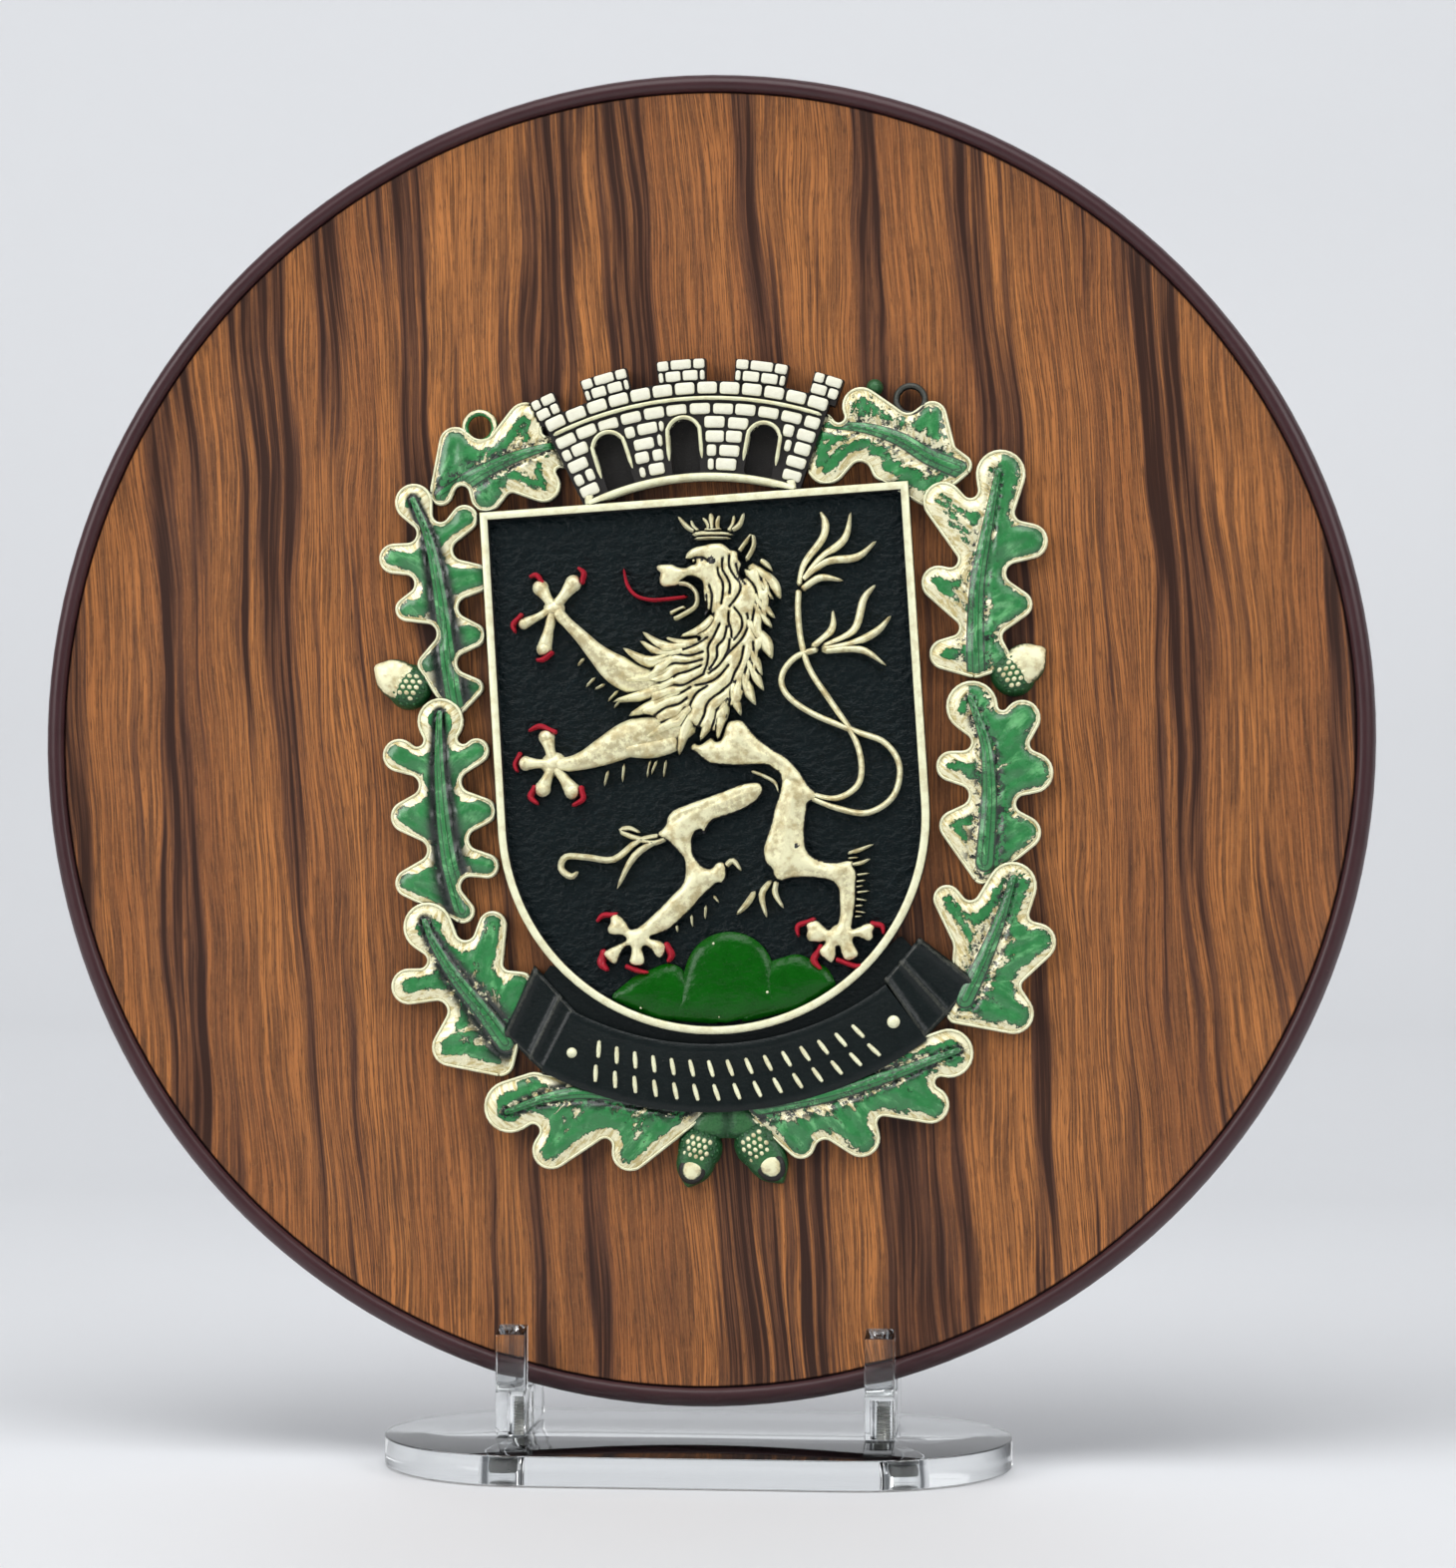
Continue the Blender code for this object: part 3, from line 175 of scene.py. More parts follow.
# The outlines of the far hind leg, and of the trunk with the near hind leg
HIND_OUTLINES = (
    ((10.9, -12.8), (10.5, -11.6), (9.3, -11.1), (7, -11.2), (4.5, -11.9), (1, -13), (-3, -14.1),
     (-6, -15), (-8, -15.7), (-9.4, -17), (-9.9, -18.6), (-10.6, -19.4), (-11.9, -20.6), (-10.9, -21.6),
     (-10, -21.9), (-8.7, -23.2), (-7.4, -24.8), (-6.5, -26.3), (-6.5, -28.6), (-6.8, -30.3),
     (-7.6, -31.8), (-9.6, -33.6), (-12, -35.8), (-14.4, -37.8), (-16.8, -39.6), (-18.6, -40.0),
     (-19.2, -38.9), (-20.3, -37.4), (-21.6, -36.4), (-22.7, -37), (-22.9, -38.4), (-23.5, -39.4),
     (-23.4, -40.6), (-22.2, -41.1), (-20.4, -41.3), (-19.7, -42.2), (-21.2, -42.9), (-23.8, -43.9),
     (-24.9, -44.8), (-24.2, -45.8), (-23, -47), (-22, -47.1), (-21.2, -45.4), (-20.2, -43.9),
     (-19, -43.6), (-18.9, -45), (-19.4, -46.7), (-18.9, -47.6), (-17.4, -47.9), (-16.1, -47.5),
     (-16, -46), (-16.4, -44.3), (-15.8, -43.8), (-14.6, -44.6), (-13.9, -45.8), (-12.9, -46.5),
     (-12, -46), (-11.6, -45), (-11.2, -44), (-12.4, -42.9), (-14, -42.4), (-14.6, -41.9),
     (-12.8, -41.4), (-11, -40.8), (-9.4, -39.8), (-8, -38.6), (-6, -36.9), (-4.6, -35.6),
     (-3.4, -34.3), (-2.2, -33.4), (-1.2, -32.5), (0, -31.6), (1.2, -31.7), (2, -30.4), (2.1, -28.8),
     (2.0, -27.7), (1.2, -27.2), (0.2, -27.4), (-0.9, -28.4), (-2.2, -28.3), (-3.4, -27.2),
     (-4.4, -25.6), (-4.7, -23.6), (-4.5, -21.8), (-3.8, -20.6), (-2.7, -20.3), (-2.1, -21.4),
     (-1.4, -20), (-0.2, -18.6), (1.2, -18.1), (3.4, -17.6), (6.5, -16.6), (9, -15.3), (10.4, -13.9)),
    ((-4.0, -3.1), (-3, -2), (-2, -2.4), (-0.8, -2.0), (0.8, -1.0), (1.6, -2.0), (2.6, -1.8),
     (3.2, -0.8), (3.6, 0.6), (4.6, 2.0), (6.5, 2.2), (7.8, 1.7), (9.2, -0.4), (11.2, -2.6),
     (13.6, -4.6), (16, -6.2), (17.8, -8.2), (19.2, -10.2), (20.3, -12.4), (22, -14.3), (21.6, -15.6),
     (20.1, -16.2), (19.5, -18.8), (19.0, -22), (19.0, -25), (19.7, -26.8), (21.3, -28),
     (23.6, -28.8), (25.5, -29), (27.4, -28.7), (28.8, -28.9), (28.7, -29.9), (29.3, -31.4),
     (29.0, -34), (28.8, -36.6), (28.3, -39.6), (27.8, -41.8), (27.7, -42.9), (28.8, -42.7),
     (30.4, -42), (32.2, -42.1), (32.4, -43.2), (31.9, -44), (31.9, -45.2), (30.8, -45.9),
     (29.6, -45.2), (28.2, -44.8), (27.7, -45.5), (28.2, -46.8), (28.8, -48.2), (28.2, -49),
     (26.8, -49.6), (25.6, -49.4), (25, -47.9), (24.7, -46.6), (24.1, -46.6), (23.9, -48.6),
     (22.9, -49.8), (21.9, -49.2), (20.6, -48), (20.2, -46.9), (21.2, -46), (21.8, -45.4),
     (20.4, -45.4), (18.4, -45), (17.9, -43.8), (18.2, -42.6), (17.9, -41.6), (18.6, -40.8),
     (20.4, -40.7), (21.6, -41.8), (22.8, -42.8), (23.6, -42.1), (24.7, -41.5), (25.2, -39.4),
     (25.3, -36.4), (25.2, -34.4), (24.2, -33), (22, -32.2), (19, -31.7), (16, -31.6), (13.8, -32),
     (12.9, -31.9), (12, -30.9), (11.8, -29.6), (10.6, -28.2), (10.1, -26), (10.3, -24.6),
     (11.2, -22.4), (12.2, -19.8), (13, -17), (14.1, -14.2), (14.8, -11.6), (14.5, -9.6),
     (13.4, -8.7), (12, -7.7), (9, -7.4), (6, -7.4), (3, -7), (0.4, -6.6), (-1.2, -5.6), (-2.6, -4.2)),
)

# Soft hollows on the trunk and hind legs, with khaki tone painted along them as shade: points of a line, and
# half width
HIND_LINES = (
    ([(10.2, -12.8), (6.5, -13.0), (3, -14.0), (-1, -15.4), (-5, -16.6), (-8, -18)], 0.35),
    ([(9, -14.2), (5, -15.6), (1, -16.8), (-2.6, -17.6)], 1.1),
    ([(-0.6, -30.4), (-3, -32.4), (-6.4, -34.6), (-9.4, -37.2), (-13, -40)], 0.8),
    ([(-5.8, -29.5), (-5.4, -25.5), (-6.6, -21.5)], 0.5),
    ([(-2.8, -3.9), (0, -5.2), (4, -5.8), (8, -6.0), (11, -6.4), (13.6, -7.9)], 0.3),
    ([(8.6, -1.6), (10.8, -4.2), (13.4, -6.4), (15.4, -9)], 0.5),
    ([(5, 0.4), (4.6, -2.4), (8, -4.4)], 0.7),
    ([(15, -11.2), (17, -11.2), (18.9, -12.8), (19.3, -15.4)], 0.3),
    ([(15.6, -14), (14.8, -18), (13.4, -22), (12.8, -26)], 0.9),
    ([(18.2, -16), (17.8, -20), (17.4, -24)], 0.5),
    ([(13.6, -30.6), (17, -30.2), (20, -30.7), (22.6, -31.3)], 0.35),
    ([(21.0, -28.9), (22.4, -29.5), (23.6, -30.2)], 0.35),
    ([(26.8, -31.6), (27, -35), (26.6, -39.6)], 0.6),
)

# The outline of the head and mane, without the locks' free tips
MANE_OUTLINE = (
    (0.9, 24.0), (1.3, 26.5), (1.0, 28.6), (1.1, 31), (0.3, 32.2), (-1.5, 33.0), (-3.2, 32.3),
    (-4.2, 31.2), (-7.4, 31.1), (-8.1, 32.6), (-7.8, 34.0), (-8.5, 34.8), (-8.2, 35.8), (-5.4, 35.8),
    (-4, 35.1), (-2.4, 34.8), (-1.2, 35.3), (-0.2, 35.5), (-0.6, 36.5), (-2.3, 36.5), (-1.9, 37.9),
    (-0.4, 38.9), (1.5, 39.2), (3.5, 39.5), (5.8, 39.3), (7.2, 38.0), (8.7, 37.4), (8.8, 35.9),
    (9.4, 34.7), (9.0, 33.1), (9.6, 31.7), (10.1, 32.1), (9.8, 33.6), (11.2, 33.5), (11.6, 34.5),
    (12.5, 34.6), (13.4, 33.6), (14.4, 31.8), (15.2, 29.8), (14.9, 27.5), (14.6, 25.5), (14.2, 23.5),
    (13.0, 22), (13.0, 20), (13.3, 18.2), (12.6, 16.8), (11.8, 16), (11.6, 13.5), (11, 11.5), (9.8, 10.8),
    (9.4, 8.6), (8.2, 7.6), (7.3, 5.6), (6.6, 5.2), (4.8, 4.8), (4.2, 2.6), (2.6, 2.4), (1.9, 0.2),
    (0.6, 0.4), (-0.8, 0.8), (-2.4, 1.4), (-3.4, 2.2), (-5.2, 0.4), (-6.2, 1.2), (-8, 1.0), (-10.6, 0.8),
    (-10.4, 3.4), (-12, 4.4), (-13.8, 5.0), (-12.4, 6.8), (-11.2, 8), (-13, 8.4), (-13.8, 9.3),
    (-11.8, 10.2), (-10.6, 11.2), (-13.5, 11.6), (-14.4, 12.5), (-11.5, 13.4), (-10.4, 14.4),
    (-12.5, 15), (-13.6, 16.2), (-12, 17), (-10.6, 16.9), (-8.8, 17.5), (-9.4, 18.6), (-8, 19.2),
    (-6, 18.9), (-4, 18.7), (-2, 19.1), (0, 19.7), (-1.2, 20.4), (0.2, 21.3), (2.2, 23.2), (2.5, 24.9),
    (1.9, 25.6),
)

# Dark grooves between the mane's locks and in the face
MANE_GROOVES = (
    [(2.4, 30.8), (2.9, 28.6), (2.6, 26.2), (2.2, 25)],
    [(1.7, 28.8), (1.7, 27), (1.4, 25.6)],
    [(4.4, 34.2), (4.6, 32.6), (5.3, 31.0), (5.2, 28.8), (4.7, 26.6)],
    [(5.6, 36.2), (5.4, 34), (6.3, 32.0), (6.8, 30.4), (6.6, 28.6)],
    [(7.0, 36.6), (6.9, 34.4), (7.7, 32.4), (8.9, 30.6), (8.8, 29.0), (7.4, 27.0), (6.4, 25.9)],
    [(8.3, 34.8), (8.8, 32.2), (10.0, 30.4)],
    [(10.4, 31.8), (11.9, 29.8), (12.3, 27.6), (11.7, 25.4), (11.2, 23.4), (10.9, 21.4), (11.6, 19)],
    [(12.4, 34.4), (13.2, 33), (13.4, 31), (13.8, 29)],
    [(12.9, 26.6), (12.8, 24.4), (13.4, 22.6)],
    [(7.4, 25.6), (8.7, 23.6), (8.8, 21.6), (7.8, 19.8), (6.9, 18.9)],
    [(6.2, 24.8), (6.0, 22.8), (6.5, 21.0), (6.4, 19.4)],
    [(10.0, 24.2), (10.1, 22), (9.4, 20.2), (8.4, 18.7), (7.0, 17.4), (5.2, 15.8), (3.4, 13.7), (1.2, 12.2)],
    [(4.1, 22.4), (2.6, 19.7), (1.4, 17.8), (1.3, 15.8), (0.9, 14), (0.2, 12.6)],
    [(5.6, 21.8), (4.8, 19.2), (3.3, 17.7), (3.2, 15.8), (2.3, 14.2), (1.3, 13.0)],
    [(6.0, 19), (5.7, 17.2), (4.7, 15.4)],
    [(3.0, 24.8), (2.0, 22.6), (0.6, 21.4)],
    [(1.4, 19.8), (-1.5, 18.3), (-5, 17.4), (-8.2, 17.2), (-10.4, 17.1)],
    [(0.2, 16.8), (-2.8, 16.2), (-5.8, 16.7), (-8.4, 15.6), (-11.4, 14.5)],
    [(0, 15.2), (-3.4, 14.6), (-6.2, 14.8), (-8.2, 13.2), (-11, 12.2)],
    [(-0.2, 14.0), (-3, 13.0), (-5.4, 12.5), (-7.6, 11.2), (-10.4, 10.9)],
    [(0.2, 12.2), (-2.2, 11.0), (-4.5, 10.1), (-6.8, 10.3), (-9.6, 9.6), (-12.2, 9.4)],
    [(0.8, 9.6), (-1.4, 8.4), (-2.7, 6.7), (-3.4, 5.2)],
    [(-2.8, 9.6), (-5.2, 8.4), (-7.6, 8.0), (-9.8, 7.2), (-11.8, 6.6)],
    [(-3.6, 7.4), (-5.6, 6.2), (-8.2, 5.7), (-10.8, 4.2)],
    [(-4.2, 5.4), (-6, 3.4), (-8.6, 2.9), (-10.8, 2.0)],
    [(-3.0, 5.0), (-4.0, 3.2), (-5.2, 1.6), (-6.2, 0.6)],
    [(4.0, 8.4), (1.6, 7.0), (0.3, 5.6), (-0.3, 3.6), (-1.5, 1.6)],
    [(4.8, 6.6), (3.5, 5.3), (2.2, 4.2), (1.6, 2.0), (1.0, 0.6)],
    [(6.7, 10.2), (5.7, 8.4), (5.3, 6.4), (4.6, 4.2)],
    [(8.9, 17.4), (8.0, 14.2), (6.6, 11.9), (5.6, 9.8), (3.4, 8.2)],
    [(10.4, 15.2), (9.1, 12.8), (8.3, 10.6), (8.0, 8.4)],
    [(10.9, 18.2), (10.8, 15.4), (10.1, 12.6), (10.2, 11.2)],
    [(5.4, 13.6), (3.0, 11.2), (0.6, 10.2), (-1.8, 9.9)],
    [(-0.2, 36.7), (1.4, 36.6), (2.4, 35.9)],
)

# Lips and teeth, ears, brow and eyelids as thin ridges
HEAD_LINES = (
    ([(-7.4, 31.8), (-4.4, 31.8), (-2.2, 31.3), (-0.7, 29.8), (-0.4, 28), (-1.0, 26.5), (-2.9, 25.4),
      (-4.6, 24.6), (-5.7, 24.3)], 0.48),
    ([(-6.5, 25.4), (-4.4, 26.2), (-3.0, 26.6)], 0.42),
    ([(8.8, 37.3), (10.4, 39.2), (12.1, 41)], 0.42),
    ([(12.1, 41), (12.1, 38.4), (10.2, 35.2)], 0.46),
    ([(-2.1, 37.0), (-0.4, 38.3), (2, 38.8)], 0.45),
)

# Paws: the middle and half width of each, then its toes' knobs: x, y, half width
PAWS = (
    ((-30.8, 28.3, 1.5), (-33.4, 32.9, 1.45), (-26.4, 33.4, 1.5), (-37.4, 25.6, 1.0), (-33.4, 20.0, 1.4)),
    ((-32.8, -4.4, 1.8), (-34, 1.4, 1.45), (-38.8, -3.8, 1.3), (-35.5, -9.4, 1.45), (-29.2, -10.3, 1.5)),
)

# Claws, from root to tip: x, y, half width
CLAWS = (
    [(-33.2, 34.4, 0.4), (-34.2, 35.7, 0.5), (-35.8, 35.3, 0.25)],
    [(-24.4, 34, 0.45), (-24.1, 35.5, 0.5), (-25.4, 36.8, 0.25)],
    [(-38.4, 26.9, 0.4), (-39.7, 25.5, 0.5), (-39.2, 23.7, 0.25)],
    [(-32.4, 18.7, 0.45), (-33.8, 17.8, 0.5), (-35.4, 17.8, 0.25)],
    [(-33.2, 2.8, 0.45), (-35.4, 3.8, 0.5), (-38.0, 2.8, 0.25)],
    [(-40.2, -2.4, 0.4), (-41, -4, 0.45), (-40.5, -5.7, 0.25)],
    [(-37.4, -9.5, 0.5), (-38.1, -11, 0.6), (-36.5, -12.7, 0.3)],
    [(-27.3, -10.4, 0.5), (-27.2, -12.2, 0.5), (-29.7, -13.5, 0.35)],
    [(-22.4, -36.8, 0.45), (-24.4, -36.8, 0.5), (-25.9, -38.2, 0.25)],
    [(-24.8, -45.0, 0.65), (-25.2, -46.8, 0.85), (-23.8, -48.5, 0.35)],
    [(-19.2, -48.1, 0.45), (-17.4, -48.9, 0.5), (-15.2, -49.4, 0.25)],
    [(-11.2, -44.3, 0.6), (-10.5, -46, 0.65), (-11.5, -47.6, 0.3)],
    [(18.6, -40.9, 0.45), (16.3, -41.7, 0.5), (16.3, -44, 0.3)],
    [(20.4, -47.0, 0.5), (19.2, -49, 0.7), (20.9, -51.3, 0.3)],
    [(25.4, -49.7, 0.45), (28, -50.8, 0.5), (30.3, -50.4, 0.3)],
    [(32.3, -42.3, 0.5), (33.8, -42.8, 0.5), (34.1, -44.7, 0.3)],
)

# Locks of the mane's edge, from root to tip, each with its greatest half width
LOCKS = (
    ([(13.3, 35.5), (14.6, 34.3), (15.8, 32.8)], 0.45),
    ([(10.5, 34.5), (14.2, 31.8), (16, 29.5), (17.1, 26.8)], 0.9),
    ([(11, 32.5), (13.6, 29.6), (15.6, 26.8)], 0.9),
    ([(11, 29), (13, 26), (15.8, 22.8)], 0.9),
    ([(11, 27), (13, 23.6), (15, 20.9)], 0.8),
    ([(9.5, 23.5), (11.6, 20), (13.4, 17.6), (14.5, 14.4)], 1.1),
    ([(9.5, 18), (11, 14), (12.2, 11)], 0.8),
    ([(9, 15), (10.8, 11), (12.4, 7.8)], 0.8),
    ([(8, 12.5), (8.9, 8.6), (10.5, 4.9)], 1.0),
    ([(6.3, 10.5), (6.1, 7.3), (7.3, 2.8)], 1.0),
    ([(4.3, 7), (3.2, 3.4), (2, -2)], 1.0),
    ([(2, 7), (0.8, 2.8), (-1.8, -1.9)], 1.0),
    ([(-1, 6), (-4.4, 1.6), (-6.4, -4.6)], 1.1),
    ([(-2, 6), (-7.5, 2.4), (-13.6, -0.7)], 1.2),
    ([(-4, 9.6), (-10.5, 6.6), (-16.6, 4.6)], 1.2),
    ([(-5, 12), (-11, 9.2), (-20, 7.8)], 1.1),
    ([(-5, 14.5), (-11, 12.4), (-17.4, 12)], 1.0),
    ([(-5, 16), (-11.4, 15.6), (-17, 19.2)], 1.0),
    ([(-3, 17.6), (-8.2, 17.2), (-13.3, 20.4)], 1.0),
    ([(-2, 18.6), (-8, 18.6), (-12.6, 22.3)], 0.9),
    ([(0, 19.4), (-4, 18.9), (-7.7, 20.6)], 0.8),
    ([(3.5, 24.5), (0.2, 21.6), (-4.7, 20.4)], 0.9),
)

# The two tails, and the tufts that end them
TAILS = (
    [(19.5, -14), (25.5, -15.6), (30.2, -13.6), (31.7, -9.5), (30.6, -3.2), (26, 5), (22.3, 11.5),
     (20.8, 17.5), (20.5, 24), (21, 29)],
    [(19.5, -14.4), (26, -17.6), (32.5, -19), (38, -15.8), (39.6, -9.6), (36.8, -4.6), (30.8, -1.8),
     (22.3, 2.4), (17.2, 6.6), (16.2, 10.6), (19.2, 14.4), (24.5, 16)],
)
TUFTS = (
    [(21, 29), (22.6, 34), (26.6, 39), (27.4, 42.2), (26.5, 44.8)],
    [(21.4, 30), (26, 34.8), (31.2, 38.6), (33, 44.4)],
    [(21.4, 30), (26.8, 34), (33.6, 34.6), (38, 37.8)],
    [(21.2, 28.4), (25.6, 30.8), (30.6, 29.8)],
    [(22.5, 16), (27.2, 19.6), (27.9, 24)],
    [(24.5, 16), (31.8, 19.2), (34.4, 25.6), (37.2, 28.6)],
    [(24.5, 15.8), (31.6, 16.6), (36.8, 18.8), (40, 21.9)],
    [(24.5, 15.4), (33, 15.2), (38.4, 11.3)],
)

# Thin curls, fur and the small crown: points from root to tip, and half width
CURLS = (
    ([(-10.5, -20.8), (-16, -21.8), (-21.4, -25.2), (-27, -24.4), (-31.4, -24.0), (-32.6, -26.4),
      (-30.6, -28.2), (-28.9, -27.2)], 0.55),
    ([(-11.5, -21.5), (-17, -24.8), (-21.3, -31.8)], 0.6),
    ([(-9.5, -21.4), (-13.4, -22.2), (-19.2, -19.6), (-17.7, -19), (-15.3, -20.1)], 0.5),
    ([(8, -33.6), (6, -36.3), (3.5, -38.6)], 0.55),
    ([(11.7, -31.6), (9.2, -34.6), (10, -39.8)], 0.55),
    ([(12.6, -31.6), (12, -34.5), (13.7, -38)], 0.5),
    ([(1.8, -28.4), (3.6, -27.2), (5.3, -29.5)], 0.5),
    ([(-1, 41.9), (3.5, 41.7), (8.2, 41.2)], 0.5),
    ([(-0.6, 40.9), (3.6, 40.8), (7.8, 40.4)], 0.3),
    ([(0.3, 42.3), (-1.7, 43.6), (-3.6, 46.1)], 0.45),
    ([(0.9, 42.4), (-0.3, 43.4), (-0.7, 45)], 0.35),
    ([(1.7, 42.7), (3.8, 42.5), (5.7, 42.6)], 0.3),
    ([(2.6, 42.2), (2.9, 43.6), (1.6, 45.4)], 0.4),
    ([(3.6, 42), (3.6, 44.4), (3.5, 46.2)], 0.55),
    ([(4.8, 42), (4.7, 43.8), (5.4, 45.6)], 0.4),
    ([(6.8, 41.8), (8.0, 43.2), (8.4, 45.4)], 0.4),
    ([(7.4, 42), (9.4, 43.2), (10.6, 45.8)], 0.45),
    ([(27.5, -27.3), (30, -26.7), (33.4, -25.6)], 0.35),
    ([(27.4, -28.3), (30, -28.2)], 0.3),
    ([(28, -29.6), (30.2, -29.4), (32.4, -28.6)], 0.35),
    ([(28.6, -31.9), (32.2, -31.6)], 0.3),
    ([(28.6, -33.3), (31.2, -33)], 0.3),
    ([(28.6, -34.4), (30.6, -34.1)], 0.25),
    ([(28.4, -35.5), (32, -35.3)], 0.3),
    ([(28.3, -36.7), (31.2, -37.3)], 0.3),
    ([(28.2, -38.3), (30.3, -38.2)], 0.3),
    ([(28, -39.3), (30.8, -39.8)], 0.3),
    ([(28, -40.5), (30, -40.4)], 0.25),
    ([(-1, -34), (0.2, -35.8)], 0.35),
    ([(-2.6, -35.8), (-3, -39.2)], 0.35),
    ([(-5.8, -37.6), (-5.7, -40.6)], 0.35),
    ([(-9, -39.6), (-8.9, -41.4)], 0.35),
    ([(8.4, -8.6), (11, -9.8), (13.4, -11.4), (14.2, -13.8)], 0.3),
    ([(-21.3, -6.2), (-22.5, -10)], 0.35),
    ([(-17.9, -5), (-18.6, -9.5)], 0.35),
    ([(-12.2, -4.6), (-13.4, -8.8)], 0.35),
    ([(-10.9, -4.8), (-12.5, -8.2)], 0.3),
    ([(-9, -4.8), (-9.9, -9)], 0.3),
    ([(-24.9, 17.6), (-26.6, 15.8)], 0.35),
    ([(-22.8, 13.4), (-25.2, 11.2)], 0.35),
    ([(-20.8, 11.8), (-23.4, 10.6)], 0.35),
    ([(-18, 10.4), (-20.8, 7.8)], 0.35),
    ([(-17.2, 8.8), (-19.6, 6.3)], 0.3),
)

# The tongue, from root to tip
TONGUE = [(-2.3, 28.9), (-6, 28.7), (-10, 28.7), (-13.2, 29.8), (-15, 32.2), (-15.6, 36)]

# Painted shade in hollows of the lion, laid by lowering the crest so that the dark wash covers them: x, y,
# radius
SHADED_HOLLOWS = ((3.3, 35.8, 1.0), (1.2, 36.0, 0.5), (17.2, -25.0, 0.6))

# The crown's windows: angle and top radius; its merlons: angle and half width in degrees
WINDOWS = ((-14.2, 72.4), (-0.7, 72.2), (13.6, 71.7))
MERLONS = ((-0.35, 3.6), (-11.8, 3.5), (11.5, 3.9), (-21.3, 1.9), (21.4, 2.2))
WINDOW_HALF = 3.0
WINDOW_FOOT = 59.8
WINDOW_RISE = 0.9

# The crown's rings, as radii from its centre, and its courses, bricks and coping
WALL_FOOT, WALL_TOP = 58.6, 79.2
COURSES, COURSE_FOOT, COURSE_PITCH, COURSE_HEIGHT = 5, 60.35, 2.95, 2.45
BRICK_LENGTH, BRICK_JOINT = 4.75, 0.55
COPING_FOOT, COPING_TOP, COPING_BLOCKS = 76.35, 79.0, 13
MERLON_FOOT, MERLON_TOP = 78.2, 84.0

# The shield: its half width, the level of its top, the centre of its round foot, and its field
SHIELD_HALF, SHIELD_TOP, SHIELD_CENTRE = 45.35, 49.7, (0, -17.8)
FIELD_HALF, FIELD_TOP = 43.6, 47.9
RIBBON_INNER, RIBBON_OUTER = 61.8, 76.0


# Properties that a user would change


class PlaqueSizes(bpy.types.PropertyGroup):
    """Sizes of the finish and the fine relief"""
    leaf_grid: bpy.props.FloatProperty(
        name="Leaf grid", description="Spacing of the leaves' surface", default=0.52 * MM,
        min=0.2 * MM, unit="LENGTH")
    field_grid: bpy.props.FloatProperty(
        name="Field grid", description="Spacing of the shield's hammered field", default=0.95 * MM,
        min=0.3 * MM, unit="LENGTH")
    bead_turns: bpy.props.IntProperty(
        name="Board steps", description="Steps round the board and its face", default=160, min=24)
    edge_ease: bpy.props.FloatProperty(
        name="Acrylic edge", description="Width of the eased edges of the clear sheet",
        default=0.35 * MM, unit="LENGTH")


def tone(name, description, default):
    """A colour that a user would change"""
    return bpy.props.FloatVectorProperty(name=name, description=description, subtype="COLOR", size=3,
                                         default=default, min=0, max=1)


class PlaqueColours(bpy.types.PropertyGroup):
    """Main colours of the paint, the print and the moulding"""
    wood_light: tone("Wood, light", "Pale tone between the grain lines", (0.46, 0.175, 0.050))
    wood_mid: tone("Wood, middle", "Main tone of the wood print", (0.270, 0.098, 0.032))
    wood_dark: tone("Wood, dark", "Broad dark bands of the wood print", (0.030, 0.011, 0.007))
    moulding: tone("Moulding", "Brown of the board's back and bead", (0.048, 0.016, 0.019))
    leaf_green: tone("Leaf green", "Paint of the leaves", (0.026, 0.225, 0.058))
    gold: tone("Gold", "Pale gold of the lion, the rims and the border", (0.88, 0.80, 0.52))
    field: tone("Field", "Near-black blue of the shield", (0.0022, 0.0070, 0.0082))
    cream: tone("Masonry", "Cream of the crown's bricks", (0.97, 0.93, 0.74))
    mount: tone("Mount", "Glossy green of the mount", (0.001, 0.085, 0.001))
    red: tone("Red", "Paint of the claws and the tongue", (0.42, 0.014, 0.03))


# Curves and outlines, in millimetres


def arc(centre, radius, start_deg, end_deg, steps):
    """Points on a circle, with angles measured from +X."""
    cx, cy = centre
    angles = [radians(start_deg + (end_deg - start_deg) * i / steps) for i in range(steps + 1)]
    return [(cx + radius * cos(a), cy + radius * sin(a)) for a in angles]


def polar(centre, radius, clockwise_deg):
    """A point at an angle measured clockwise from straight up."""
    angle = radians(clockwise_deg)
    return centre[0] + radius * sin(angle), centre[1] + radius * cos(angle)


def curve_through(points, steps):
    """A smooth curve through points of any dimension, with so many steps to a span."""
    points = [Vector(p) for p in points]
    padded = [2 * points[0] - points[1], *points, 2 * points[-1] - points[-2]]
    made = []
    for a, b, c, d in zip(padded, padded[1:], padded[2:], padded[3:]):
        for i in range(steps):
            t = i / steps
            made.append(0.5 * (2 * b + (c - a) * t + (2 * a - 5 * b + 4 * c - d) * t ** 2
                               + (3 * b - a - 3 * c + d) * t ** 3))
    return made + [points[-1]]


def closed_curve(points, steps):
    """A smooth closed outline through points."""
    return [tuple(p) for p in curve_through((*points, points[0]), steps)[:-1]]


